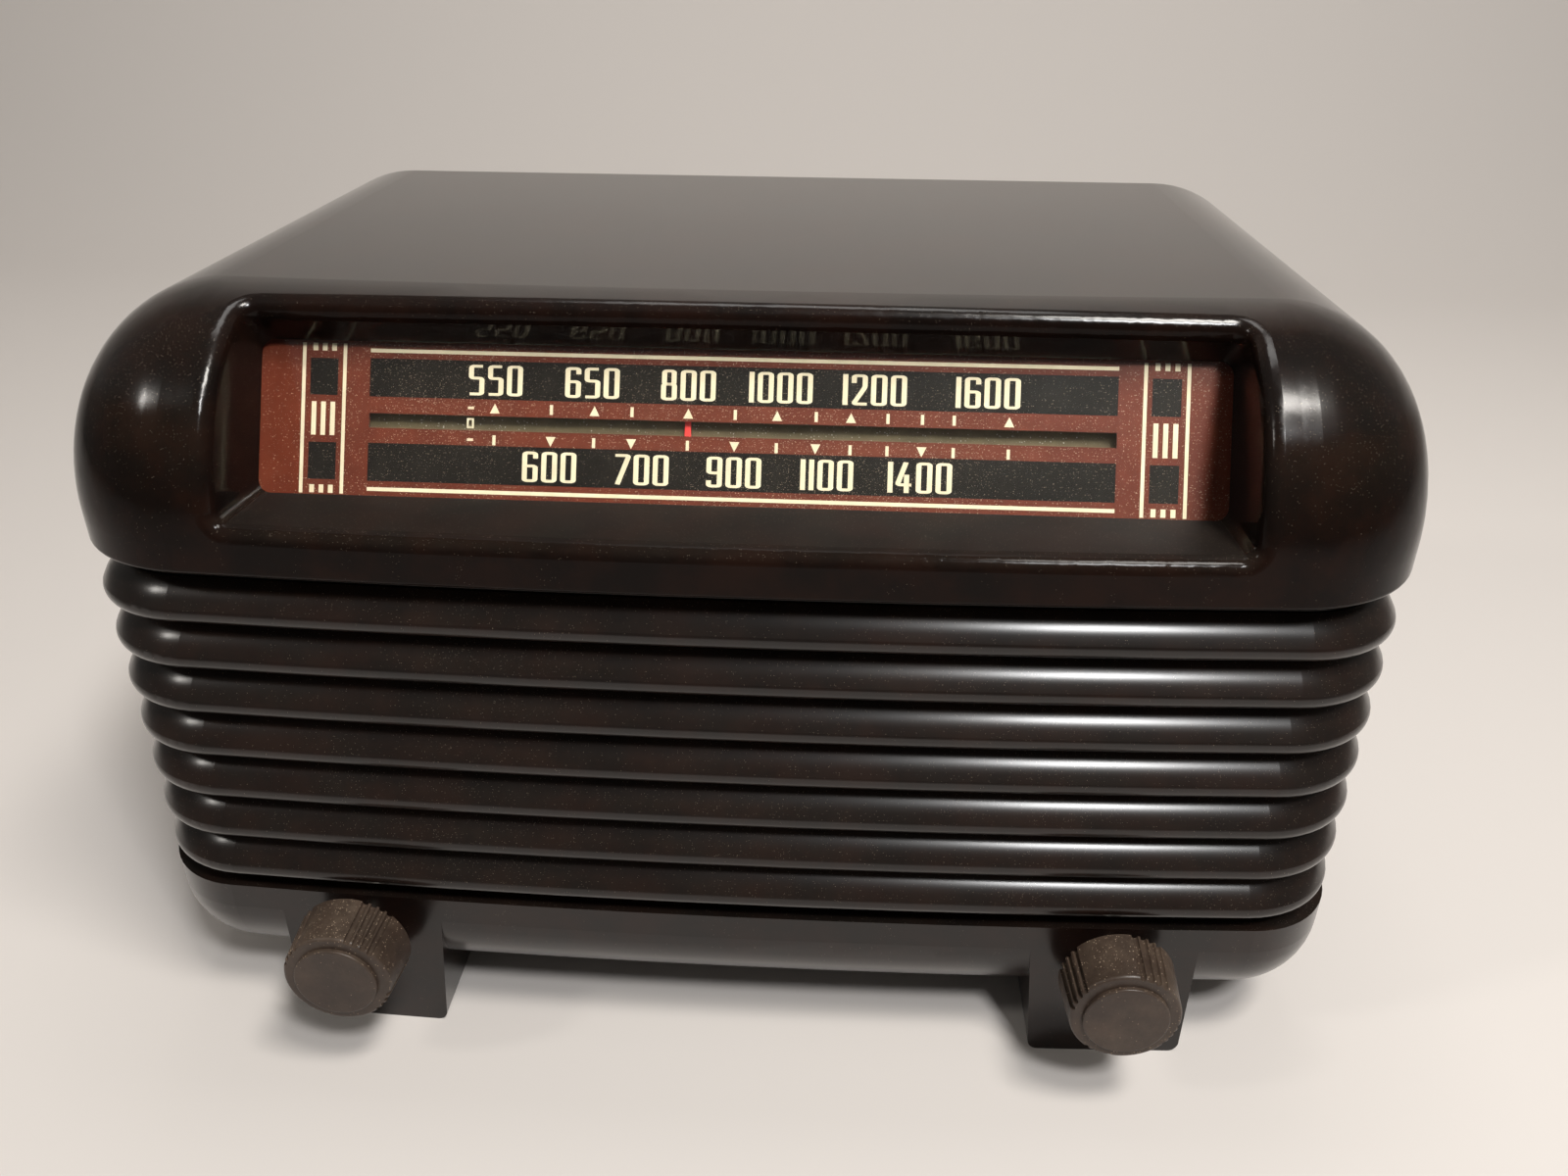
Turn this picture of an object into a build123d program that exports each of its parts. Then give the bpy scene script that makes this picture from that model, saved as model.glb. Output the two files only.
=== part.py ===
"""A moulded table radio of the 1940s: ribbed cabinet, slanted dial, cord drive and loudspeaker.

Millimetres. +X runs to the right of the front, +Y to the back and +Z up. The origin is on the table,
under the middle of the whole set. A depth is measured backwards from the front of the cap.
"""
import math
import os

from build123d import *

# Cabinet, overall
cabinet_width = 267.0
cabinet_depth = 161.0
cabinet_height = 163.5
wall = 3.2
bow_radius = 2120.0
knob_stand_out = 13.0

# How far a cut runs past what it cuts, a cavity past the next one, and how close counts as touching
past = 20.0
cavity_lap = 0.3
touching = 0.05

# Cap
cap_height = 46.5
cap_front_radius = 40.0
cap_side_radius = 30.0
cap_lip_radius = 1.2

# Ribbed wall
rib_count = 7
rib_gap = 2.15
rib_top_gap = 3.6
rib_foot_gap = 4.3
rib_lower_radius = 2.4
rib_face_foot_slope = 26.0
rib_face_head_slope = 60.0
rib_groove_depth = 5.5
rib_corner_radius = 23.0
rib_side_inset = 2.3
rib_front_inset = 1.2

# Ledge, base and feet
ledge_z = 36.7
ledge_inset = 2.2
ledge_side_reach = 0.9
base_bottom_z = 10.5
base_edge_radius = 20.0
foot_inner_x = 67.3
foot_outer_x = 101.3
foot_inner_lean = 4.5
foot_corner_radius = 2.5
foot_back = 150.0

# Dial pocket and glass
dial_side_margin = 38.5
dial_height = 30.5
dial_tilt = 28.1
dial_foot_depth = 21.7
dial_foot_drop = 37.6
shelf_front_drop = 36.3
brow_depth = 46.6
brow_slope = 51.0
pocket_corner_radius = 2.5
pocket_rim_radius = 3.0
glass_thickness = 2.0
scale_thickness = 0.6
glass_lap = 3.0
glass_clearance = 0.3
seat_wall = 3.2
slot_end_margin = 21.4
slot_height = 2.9
slot_rise = 15.05
clip_end_margin = 20.0
clip_width = 10.0
clip_thickness = 1.0
clip_reach = 2.5
clip_post_radius = 1.5
clip_post_length = 2.0

# Shafts and knobs
knob_x = 82.65
knob_z = 28.6
knob_radius = 12.2
knob_front_radius = 11.4
knob_back_depth = -0.7
knob_face_radius = 8.85
knob_face_edge = 0.4
knob_step = 1.0
knob_shoulder_radius = 0.8
knob_bore_depth = 9.4
flute_groups = 4
flutes_in_group = 4
flute_pitch_angle = 9.0
flute_radius = 0.7
tuning_flute_angle = 66.0
volume_flute_angle = 57.0
shaft_radius = 3.175
shaft_clearance = 0.05
shaft_hole_radius = 4.8

# Cord drive
cord_radius = 0.5
cord_clearance = 0.1
cord_depth = 40.0
spool_radius = 2.9
spool_flange_radius = 4.2
spool_flange_width = 1.0
spool_gap = 2.8
drum_x = -40.0
drum_z = 72.0
drum_groove_radius = 33.0
drum_flange = 2.0
drum_width = 6.0
drum_groove_width = 3.0
drum_web = 2.0
drum_hub_radius = 8.0
idler_x = 62.0
idler_rise = 8.1
idler_groove_radius = 4.4
idler_flange = 2.1
idler_width = 5.4
idler_groove_width = 2.4
stud_radius = 1.5
stud_shoulder_radius = 3.0
stud_head_width = 1.1
stud_play = 0.2

# Pointer
pointer_x = -10.0
rail_radius = 1.5
rail_depth = 41.5
rail_rise = 20.1
rail_half_length = 71.0
rail_ear_x = 69.0
rail_clearance = 0.05
slider_width = 8.0
slider_side = 7.0
tab_width = 3.0
tab_thickness = 4.0
tab_drop = 6.0
cord_hole_radius = 1.2
needle_width = 1.2
needle_thickness = 0.8
needle_gap = 1.0
needle_low = 9.0
needle_high = 26.0

# Dial bracket and lamps
bracket_thickness = 1.5
bracket_depth = 47.5
bracket_half_width = 96.0
bracket_drop = 7.9
bracket_height = 32.0
leg_x = 76.0
leg_width = 12.0
leg_foot_length = 12.0
lamp_drop = 0.9
lamp_socket_radius = 5.5
lamp_socket_length = 12.0
lamp_socket_inner_x = 82.0
bulb_radius = 4.5
bulb_length = 10.0
bulb_tip_radius = 4.0

# Chassis
chassis_half_width = 100.0
chassis_front = 46.0
chassis_back = 146.0
chassis_deck_z = 48.0
chassis_foot_z = 16.0
sheet = 1.2
flange_width = 12.0
bend_radius = 1.0
chassis_screw_x = 50.0
chassis_screw_inset = 6.0
chassis_screw_radius = 1.6
chassis_boss_radius = 5.0
screw_head_radius = 3.5
screw_head_height = 2.2
screw_dome = 0.9
driver_slot_width = 1.0
driver_slot_depth = 1.0
driver_slot_turn = 35.0
screw_clearance = 0.1
chassis_screw_end_z = 20.0

# Controls
bushing_radius = 4.7
bushing_front = 42.5
tuning_bushing_back = 60.0
bushing_flange_radius = 7.0
bushing_flange_width = 1.8
nut_width = 12.0
nut_thickness = 2.8
control_radius = 11.0
control_back = 60.0
shaft_tail = 4.0
clip_ring_radius = 5.0
clip_ring_width = 0.8
clip_groove_depth = 0.6
clip_ring_play = 0.2

# Tuning capacitor
frame_width = 46.0
frame_front = 52.0
frame_back = 102.0
frame_plate = 1.5
frame_top_z = 90.0
rotor_plate_radius = 19.0
rotor_plate = 1.0
rotor_plate_count = 9
rotor_pitch = 4.2
rotor_tail = 3.0
rotor_front_depth = 36.0
stator_radius = 21.0
stator_bore = 6.5
stator_bar_angle = 25.0
stator_bar_reach = 23.2
stator_bar_radius = 1.75
stator_ear_radius = 3.4
rotor_rest_angle = 71.62

# Loudspeaker
speaker_x = 24.0
speaker_drop = 42.5
baffle_depth = 14.5
baffle_thickness = 2.5
baffle_width = 100.0
baffle_height = 88.0
baffle_clearance = 0.7
baffle_hole_radius = 35.0
cloth_radius = 40.0
cloth_thickness = 0.5
speaker_screw_offset = 35.0
speaker_boss_radius = 4.0
speaker_screw_radius = 1.5
speaker_screw_head_radius = 3.0
speaker_screw_head = 2.0
speaker_screw_bite = 3.0
sound_radius = 38.0
flange_side = 80.0
flange_corner_radius = 10.0
flange_hole_radius = 34.0
basket_sheet = 1.5
basket_front_radius = 39.0
basket_back_radius = 23.0
basket_length = 12.0
basket_window_width = 16.0
basket_window_length = 6.0
basket_windows = 4
pole_radius = 6.0
gap_radius = 8.6
spider_ring_inner = 17.0
spider_ring_outer = 20.0
spider_ring_height = 2.0
spider_sheet = 0.6
surround_inner = 31.2
surround_outer = 36.0
surround_sheet = 0.8
cone_sheet = 0.6
cone_lip = 2.0
cone_clearance = 0.2
cone_travel = 0.8
coil_inner_radius = 7.0
coil_outer_radius = 7.6
coil_length = 6.0
magnet_radius = 19.0
magnet_length = 13.0
magnet_gap_depth = 9.5

# Parts on the deck, each at an X and a depth
valve_small_places = ((-84.0, 84.0), (8.0, 124.0), (46.0, 124.0))
valve_power_places = ((-84.0, 124.0), (84.0, 124.0))
valve_radius = 13.5
valve_base_height = 12.0
valve_small_height = 42.0
valve_power_height = 56.0
valve_shoulder = 9.0
socket_hole_radius = 11.0
socket_clearance = 0.1
socket_rim_radius = 14.0
socket_rim = 2.0
socket_drop = 8.0
can_places = ((6.0, 84.0), (46.0, 84.0))
can_side = 22.0
can_height = 58.0
can_edge_radius = 2.5
filter_place = (-40.0, 126.0)
filter_radius = 12.5
filter_height = 60.0
filter_edge_radius = 2.0
transformer_place = (84.0, 76.0)
core_width = 32.0
core_depth = 16.0
core_height = 30.0
core_window_width = 22.0
core_window_height = 16.0
core_limb = 8.0
coil_depth = 26.0
coil_clearance = 0.3
coil_edge_radius = 3.0
oscillator_place = (-64.0, 112.0)
oscillator_radius = 5.0
oscillator_bore = 3.0
oscillator_length = 20.0
strip_depth = 68.0
strip_width = 90.0
strip_height = 14.0
strip_thickness = 2.0
paper_capacitor_count = 4
paper_capacitor_pitch = 20.0
paper_capacitor_radius = 4.5
paper_capacitor_length = 28.0
paper_capacitor_drop = 8.5

# Back
cover_thickness = 3.0
cover_back = 158.4
cover_clearance = 0.5
cover_post_side = 12.0
cover_post_length = 18.0
cover_post_bite = 1.5
cover_post_low_z = 62.0
cover_post_high_z = 106.0
cover_screw_radius = 1.5
cover_screw_length = 10.0
vent_width = 16.0
vent_height = 4.0
vent_columns = 7
vent_rows = 3
vent_pitch_x = 22.0
vent_pitch_z = 12.0
vent_z = 96.0
low_vent_z = 40.0
aerial_width = 186.0
aerial_height = 66.0
aerial_band = 8.0
aerial_thickness = 4.0
aerial_corner_radius = 14.0
grommet_x = -60.0
grommet_z = 26.0
grommet_radius = 6.0
grommet_bore = 3.5
grommet_rim = 1.5

# Sizes worked out from those above
half_width = cabinet_width / 2
front_y = -(cabinet_depth - knob_stand_out) / 2
rear_y = front_y + cabinet_depth
rib_half_width = half_width - rib_side_inset
cap_bottom_z = cabinet_height - cap_height
rib_top_z = cap_bottom_z - rib_top_gap
rib_pitch = (rib_top_z - ledge_z - rib_foot_gap + rib_gap) / rib_count
rib_crest_drop = rib_pitch - rib_gap - rib_lower_radius
foot_slope = math.radians(rib_face_foot_slope)
head_slope = math.radians(rib_face_head_slope)
rib_face_foot = rib_lower_radius * math.sin(foot_slope)
rib_face_radius = (rib_crest_drop - rib_face_foot) / (math.sin(head_slope) - math.sin(foot_slope))
rib_foot_setback = rib_lower_radius * (1 - math.cos(foot_slope))
rib_head_setback = rib_foot_setback + rib_face_radius * (math.cos(foot_slope) - math.cos(head_slope))
inner_inset = rib_groove_depth + wall
rib_inner_half = rib_half_width - inner_inset
rib_inner_front = rib_front_inset + inner_inset
base_half_width = rib_half_width + ledge_side_reach
base_front = rib_front_inset + ledge_inset
base_corner_radius = rib_corner_radius - ledge_inset
floor_z = base_bottom_z + wall
seat_depth = glass_thickness + scale_thickness
tilt = math.radians(dial_tilt)
dial_width = cabinet_width - 2 * dial_side_margin
dial_foot_z = cabinet_height - dial_foot_drop
shelf_front_z = cabinet_height - shelf_front_drop
slot_length = dial_width - 2 * slot_end_margin
clip_x = dial_width / 2 - clip_end_margin
pocket_low_z = dial_foot_z - (glass_lap + seat_wall) * math.cos(tilt) - seat_depth * math.sin(tilt)
idler_z = dial_foot_z + idler_rise
rail_z = dial_foot_z + rail_rise
bracket_low_z = dial_foot_z - bracket_drop
bracket_high_z = bracket_low_z + bracket_height
lamp_z = dial_foot_z - lamp_drop
spool_centre_radius = spool_radius + cord_radius + cord_clearance
drum_centre_radius = drum_groove_radius + cord_radius + cord_clearance
idler_centre_radius = idler_groove_radius + cord_radius + cord_clearance
bracket_front = bracket_depth - bracket_thickness
apron_back = chassis_front + sheet
deck_under_z = chassis_deck_z - sheet
baffle_top_z = pocket_low_z - baffle_clearance
speaker_z = baffle_top_z - speaker_drop
flange_depth = baffle_depth + baffle_thickness
basket_depth = flange_depth + basket_sheet
basket_back = basket_depth + basket_length
cover_front = cover_back - cover_thickness
valve_places = valve_small_places + valve_power_places


def depth_y(depth):
    """Y of a plane at this depth behind the front of the cap."""
    return front_y + depth


def upright(depth):
    """Plane across the set at a depth: local x is X, local y is Z, and it faces the front."""
    return Plane(origin=(0, depth_y(depth), 0), x_dir=(1, 0, 0), z_dir=(0, -1, 0))


def level(z):
    """Flat plane at a height."""
    return Plane.XY.offset(z)


def dial_point(rise, back):
    """(Y, Z) of a point on the dial: rise up the glass from its foot, back behind its front face."""
    y = depth_y(dial_foot_depth) + rise * math.sin(tilt) + back * math.cos(tilt)
    z = dial_foot_z + rise * math.cos(tilt) - back * math.sin(tilt)
    return y, z


def dial_plane(back):
    """Plane parallel to the glass: local x is X, local y runs up the glass, and it faces the front."""
    y, z = dial_point(0, back)
    return Plane(origin=(0, y, z), x_dir=(1, 0, 0), z_dir=(0, -math.cos(tilt), math.sin(tilt)))


def bow_sag(x):
    """How far the bowed front lies behind its middle at x."""
    return bow_radius - math.sqrt(bow_radius**2 - x**2)


def plan_outline(plane, half, front, corner_radius, rear):
    """Plan of the cabinet: bowed front, two round corners, straight sides and a straight back."""
    y = depth_y(front)
    side_y = y + bow_sag(half)
    with BuildSketch(plane) as plan:
        with BuildLine():
            ThreePointArc((-half, side_y), (0, y), (half, side_y))
            Polyline((half, side_y), (half, rear), (-half, rear), (-half, side_y))
        make_face()
        fillet(plan.vertices().group_by(Axis.Y)[0], corner_radius)
    return plan.sketch


def cap_form(inset, bottom_z, rear, lip_radius=0.0):
    """The smooth cap, or with an inset the space inside it."""
    half = half_width - inset
    top = cabinet_height - inset
    front = front_y + inset
    radius = cap_front_radius - inset
    with BuildPart() as cap:
        with BuildSketch(Plane.YZ) as side:
            with BuildLine():
                Polyline(
                    (front + radius, top),
                    (rear + past, top),
                    (rear + past, bottom_z),
                    (front, bottom_z),
                    (front, top - radius),
                )
                RadiusArc((front, top - radius), (front + radius, top), radius)
            make_face()
        bow_axis = Axis((0, front_y + bow_radius, 0), (0, 0, 1))
        revolve(axis=bow_axis, revolution_arc=math.degrees(half_width / bow_radius) + 1)
        mirror(about=Plane.YZ)
        with BuildSketch(level(bottom_z)):
            with Locations((0, (front - past + rear) / 2)):
                Rectangle(2 * half, rear - front + past)
        extrude(amount=top - bottom_z, mode=Mode.INTERSECT)
        side_faces = cap.faces().filter_by(Axis.X).sort_by(Axis.X)
        side_edges = side_faces[0].edges() + side_faces[-1].edges()
        shoulder_edges = side_edges.filter_by(lambda e: bottom_z < e.center().Z and e.center().Y < rear)
        shoulder_edges = shoulder_edges.filter_by(lambda e: e.center().Y < rear - wall / 2)
        fillet(shoulder_edges, cap_side_radius - inset)
        if lip_radius:
            lip = cap.edges().group_by(Axis.Z)[0].filter_by(lambda e: e.center().Y < rear - wall / 2)
            fillet(lip, lip_radius)
    return cap.part


def base_form(inset, top_z):
    """The bowl of the base, or with an inset the space inside it."""
    half = base_half_width - inset
    corner = base_corner_radius - inset
    rear = rear_y + (past if inset else 0)
    with BuildPart() as base:
        extrude(plan_outline(level(base_bottom_z + inset), half, base_front + inset, corner, rear),
                amount=top_z - base_bottom_z - inset)
        rim = base.edges().group_by(Axis.Z)[0].filter_by(lambda e: e.center().Y < rear - wall / 2)
        fillet(rim, base_edge_radius - inset)
    return base.part


def rib_crest_z(index):
    """Height of a rib's crest, counted from the top."""
    return rib_top_z - rib_crest_drop - index * rib_pitch


os.makedirs("parts", exist_ok=True)

# Cabinet, one moulding
filled_cap = cap_form(0, cap_bottom_z, rear_y, cap_lip_radius)
rib_plan = plan_outline(Plane.XY, rib_half_width, rib_front_inset, rib_corner_radius, rear_y)
rib_path = Wire(rib_plan.edges().sort_by(Axis.Y)[:-1])

with BuildSketch(upright(cabinet_depth)) as rib_section:
    crest_x = -rib_half_width
    floor_x = crest_x + rib_groove_depth
    back_x = crest_x + inner_inset + wall
    with BuildLine():
        Polyline((floor_x, cap_bottom_z + wall), (back_x, cap_bottom_z + wall), (back_x, ledge_z - wall),
                 (floor_x, ledge_z - wall))
        above = (floor_x, cap_bottom_z + wall)
        for index in range(rib_count):
            crest_z = rib_crest_z(index)
            top_z = crest_z + rib_crest_drop
            low_z = crest_z - rib_lower_radius
            face_head = (crest_x + rib_head_setback, top_z)
            face_foot = (crest_x + rib_foot_setback, crest_z + rib_face_foot)
            Polyline(above, (floor_x, top_z), face_head)
            RadiusArc(face_head, face_foot, -rib_face_radius)
            RadiusArc(face_foot, (crest_x + rib_lower_radius, low_z), -rib_lower_radius)
            Line((crest_x + rib_lower_radius, low_z), (floor_x, low_z))
            above = (floor_x, low_z)
        Line(above, (floor_x, ledge_z - wall))
    make_face()

with BuildSketch(Plane.YZ) as pocket_block_side:
    with BuildLine():
        back_low = dial_point(-glass_lap - seat_wall, seat_depth)
        back_high = dial_point(dial_height + glass_lap + seat_wall, seat_depth)
        Polyline(
            (front_y - past, back_low[1]),
            back_low,
            back_high,
            (depth_y(brow_depth), cabinet_height - wall),
            (depth_y(brow_depth), cabinet_height + past),
            (front_y - past, cabinet_height + past),
            close=True,
        )
    make_face()

with BuildPart() as pocket_block:
    extrude(pocket_block_side.sketch, amount=dial_width / 2 + glass_lap + seat_wall, both=True)
    add(filled_cap, mode=Mode.INTERSECT)

glass_foot = dial_point(0, 0)
glass_head = dial_point(dial_height, 0)
with BuildPart() as pocket:
    with BuildSketch(Plane.YZ):
        shelf_rise = (shelf_front_z - glass_foot[1]) / dial_foot_depth * (dial_foot_depth + past)
        brow_rise = (glass_head[0] - front_y + past) * math.tan(math.radians(brow_slope))
        with BuildLine():
            Polyline(
                (front_y - past, glass_foot[1] + shelf_rise),
                glass_foot,
                glass_head,
                (front_y - past, glass_head[1] + brow_rise),
                close=True,
            )
        make_face()
    extrude(amount=dial_width / 2, both=True)
    cheeks = pocket.faces().filter_by(Axis.X)
    cheek_edges = cheeks[0].edges() + cheeks[1].edges()
    shelf_edges = cheek_edges.filter_by(lambda e: e.center().Z < shelf_front_z + wall)
    brow_edges = cheek_edges.filter_by(lambda e: e.center().Y > front_y and e.center().Z > glass_head[1])
    fillet(shelf_edges + brow_edges, pocket_corner_radius)

with BuildPart() as cap_shell:
    add(filled_cap)
    add(cap_form(wall, cap_bottom_z + wall, rear_y + past), mode=Mode.SUBTRACT)
    add(pocket_block.part)
    add(pocket.part, mode=Mode.SUBTRACT)
    outer_skin = filled_cap.shell()
    rim = cap_shell.edges(Select.LAST).filter_by(
        lambda e: outer_skin.distance_to(e @ 0.5) < touching and e.center().Z > cap_bottom_z + wall)
    fillet(rim.sort_by(Axis.X), pocket_rim_radius)

foot_top_z = ledge_z - wall
with BuildPart() as feet:
    extrude(plan_outline(level(0), base_half_width, base_front, base_corner_radius, depth_y(foot_back)),
            amount=foot_top_z)
    with BuildSketch(upright(cabinet_depth)) as foot_ends:
        inner_top_x = foot_inner_x - foot_top_z * math.tan(math.radians(foot_inner_lean))
        with BuildLine():
            Polyline(
                (foot_inner_x, 0),
                (foot_outer_x, 0),
                (foot_outer_x, foot_top_z),
                (inner_top_x, foot_top_z),
                close=True,
            )
        make_face()
        fillet(foot_ends.vertices().group_by(Axis.Y)[0], foot_corner_radius)
        mirror(about=Plane.YZ)
    extrude(amount=cabinet_depth + past, mode=Mode.INTERSECT)

with BuildPart() as cabinet:
    add(cap_shell.part)
    sweep(rib_section.sketch, path=rib_path)
    add(base_form(0, ledge_z))
    # Feet: runners from front to back, flush with the bowed front of the base
    add(feet.part)
    # Hollow inside
    add(base_form(wall, ledge_z - wall), mode=Mode.SUBTRACT)
    cavity_low_z = ledge_z - wall - cavity_lap
    extrude(
        plan_outline(level(cavity_low_z), rib_inner_half, rib_inner_front, rib_corner_radius - inner_inset,
                     rear_y + past),
        amount=cap_bottom_z + wall + cavity_lap - cavity_low_z,
        mode=Mode.SUBTRACT,
    )
    # Seat of the dial glass
    with BuildSketch(dial_plane(seat_depth + past)):
        with Locations((0, dial_height / 2)):
            Rectangle(dial_width + 2 * glass_lap, dial_height + 2 * glass_lap)
    extrude(amount=seat_depth + past, mode=Mode.SUBTRACT)
    with BuildSketch(dial_plane(seat_depth + clip_post_length)):
        with Locations((0, dial_height / 2)):
            with GridLocations(2 * clip_x, dial_height + 2 * glass_lap + seat_wall, 2, 2):
                Circle(clip_post_radius)
    extrude(amount=clip_post_length + seat_wall / 2)
    # Sound slots in the grooves in front of the loudspeaker
    for index in range(rib_count - 1):
        groove_z = rib_crest_z(index) - rib_lower_radius - rib_gap / 2
        rise = groove_z - speaker_z
        if abs(rise) < sound_radius:
            with BuildSketch(upright(rib_inner_front + wall)):
                with Locations((speaker_x, groove_z)):
                    Rectangle(2 * math.sqrt(sound_radius**2 - rise**2), rib_gap)
            extrude(amount=inner_inset, mode=Mode.SUBTRACT)
    # Bosses for the loudspeaker's baffle
    for boss_z in (speaker_z - speaker_screw_offset, speaker_z + speaker_screw_offset):
        wall_back = rib_inner_front if boss_z > ledge_z else base_front + wall
        with BuildSketch(upright(baffle_depth)):
            with Locations((speaker_x, boss_z)):
                with GridLocations(2 * speaker_screw_offset, 1, 2, 1):
                    Circle(speaker_boss_radius)
        extrude(amount=baffle_depth - wall_back + wall / 2)
    with BuildSketch(upright(baffle_depth)):
        with Locations((speaker_x, speaker_z)):
            with GridLocations(2 * speaker_screw_offset, 2 * speaker_screw_offset, 2, 2):
                Circle(speaker_screw_radius + shaft_clearance)
    extrude(amount=speaker_screw_bite + screw_clearance, mode=Mode.SUBTRACT)
    # Bosses under the chassis, with sunk screw holes
    chassis_middle = depth_y((chassis_front + chassis_back) / 2)
    screw_pitch_y = chassis_back - chassis_front - 2 * (sheet + chassis_screw_inset)
    with BuildSketch(level(floor_z - wall / 2)):
        with Locations((0, chassis_middle)):
            with GridLocations(2 * chassis_screw_x, screw_pitch_y, 2, 2):
                Circle(chassis_boss_radius)
    extrude(amount=chassis_foot_z - floor_z + wall / 2)
    with BuildSketch(level(base_bottom_z)):
        with Locations((0, chassis_middle)):
            with GridLocations(2 * chassis_screw_x, screw_pitch_y, 2, 2):
                Circle(chassis_screw_radius + screw_clearance)
    extrude(amount=chassis_foot_z - base_bottom_z, mode=Mode.SUBTRACT)
    with BuildSketch(level(base_bottom_z)):
        with Locations((0, chassis_middle)):
            with GridLocations(2 * chassis_screw_x, screw_pitch_y, 2, 2):
                Circle(screw_head_radius + screw_clearance)
    extrude(amount=screw_head_height + screw_clearance, mode=Mode.SUBTRACT)
    # Posts for the back cover's screws
    post_middle_x = rib_inner_half + cover_post_bite - cover_post_side / 2
    post_middle_z = (cover_post_low_z + cover_post_high_z) / 2
    post_pitch_z = cover_post_high_z - cover_post_low_z
    with BuildSketch(upright(cover_front)):
        with Locations((0, post_middle_z)):
            with GridLocations(2 * post_middle_x, post_pitch_z, 2, 2):
                Rectangle(cover_post_side, cover_post_side)
    extrude(amount=cover_post_length)
    with BuildSketch(upright(cover_front)):
        with Locations((0, post_middle_z)):
            with GridLocations(2 * post_middle_x, post_pitch_z, 2, 2):
                Circle(cover_screw_radius + shaft_clearance)
    extrude(amount=cover_screw_length + screw_clearance, mode=Mode.SUBTRACT)
    # Holes for the two control shafts
    with BuildSketch(upright(base_front + bow_sag(knob_x) + 2 * wall)):
        with Locations((-knob_x, knob_z), (knob_x, knob_z)):
            Circle(shaft_hole_radius)
    extrude(amount=base_front + 2 * wall + past, mode=Mode.SUBTRACT)
cabinet.part.label = "cabinet"
export_step(cabinet.part, "parts/cabinet.step")

# Dial glass and printed scale
pane_width = dial_width + 2 * (glass_lap - glass_clearance)
pane_height = dial_height + 2 * (glass_lap - glass_clearance)

with BuildPart() as dial_glass:
    with BuildSketch(dial_plane(glass_thickness)):
        with Locations((0, dial_height / 2)):
            Rectangle(pane_width, pane_height)
    extrude(amount=glass_thickness)
dial_glass.part.label = "dial_glass"
export_step(dial_glass.part, "parts/dial_glass.step")

with BuildPart() as dial_scale:
    with BuildSketch(dial_plane(seat_depth)):
        with Locations((0, dial_height / 2)):
            Rectangle(pane_width, pane_height)
        with Locations((0, slot_rise)):
            Rectangle(slot_length, slot_height, mode=Mode.SUBTRACT)
    extrude(amount=scale_thickness)
dial_scale.part.label = "dial_scale"
export_step(dial_scale.part, "parts/dial_scale.step")

clip_length = glass_lap - glass_clearance + seat_wall + clip_reach
clip_offset = dial_height / 2 + glass_lap + seat_wall - clip_length / 2
with BuildPart() as glass_clips:
    with BuildSketch(dial_plane(seat_depth + clip_thickness)):
        with Locations((0, dial_height / 2)):
            with GridLocations(2 * clip_x, 2 * clip_offset, 2, 2):
                Rectangle(clip_width, clip_length)
            with GridLocations(2 * clip_x, dial_height + 2 * glass_lap + seat_wall, 2, 2):
                Circle(clip_post_radius + shaft_clearance, mode=Mode.SUBTRACT)
    extrude(amount=clip_thickness)
glass_clips.part.label = "glass_clips"
export_step(glass_clips.part, "parts/glass_clips.step")

# Knobs and their shafts
knob_front_depth = -knob_stand_out
knob_length = knob_back_depth - knob_front_depth


def knob(x, flute_angle):
    """A fluted knob with a raised face on the shaft at x, its first group of flutes at an angle from +X."""
    with BuildPart() as body:
        with BuildSketch(Plane.XZ) as half:
            with BuildLine():
                Polyline(
                    (0, knob_length),
                    (knob_face_radius, knob_length),
                    (knob_face_radius, knob_length - knob_step),
                    (knob_front_radius, knob_length - knob_step),
                    (knob_radius, 0),
                    (0, 0),
                    close=True,
                )
            make_face()
            fillet(half.vertices().filter_by(lambda v: v.X == knob_front_radius), knob_shoulder_radius)
            fillet(half.vertices().group_by(Axis.Y)[-1].sort_by(Axis.X)[-1], knob_face_edge)
        revolve(axis=Axis.Z)
        lean = math.degrees(math.atan2(knob_radius - knob_front_radius, knob_length))
        for group in range(flute_groups):
            for flute in range(flutes_in_group):
                turn = flute_angle + 360 / flute_groups * group
                turn += (flute - (flutes_in_group - 1) / 2) * flute_pitch_angle
                groove = Plane.XY.rotated((0, 0, turn)) * Plane(
                    origin=(knob_radius, 0, 0), x_dir=(0, 1, 0),
                    z_dir=(-math.sin(math.radians(lean)), 0, math.cos(math.radians(lean))))
                with BuildSketch(groove):
                    Circle(flute_radius)
                extrude(amount=2 * knob_length, both=True, mode=Mode.SUBTRACT)
        with BuildSketch(Plane.XY):
            Circle(shaft_radius + shaft_clearance)
        extrude(amount=knob_bore_depth, mode=Mode.SUBTRACT)
    seat = Plane(origin=(x, depth_y(knob_back_depth), knob_z), x_dir=(1, 0, 0), z_dir=(0, -1, 0))
    return body.part.moved(seat.location)


tuning_knob = knob(knob_x, tuning_flute_angle)
tuning_knob.label = "tuning_knob"
export_step(tuning_knob, "parts/tuning_knob.step")

volume_knob = knob(-knob_x, volume_flute_angle)
volume_knob.label = "volume_knob"
export_step(volume_knob, "parts/volume_knob.step")

# Tuning shaft with its cord spool, in a bushing on the chassis
shaft_front = knob_back_depth - knob_bore_depth + shaft_clearance
clip_front = tuning_bushing_back + clip_ring_play
clip_back = clip_front + clip_ring_width
spool_back = cord_depth + spool_gap / 2

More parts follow.
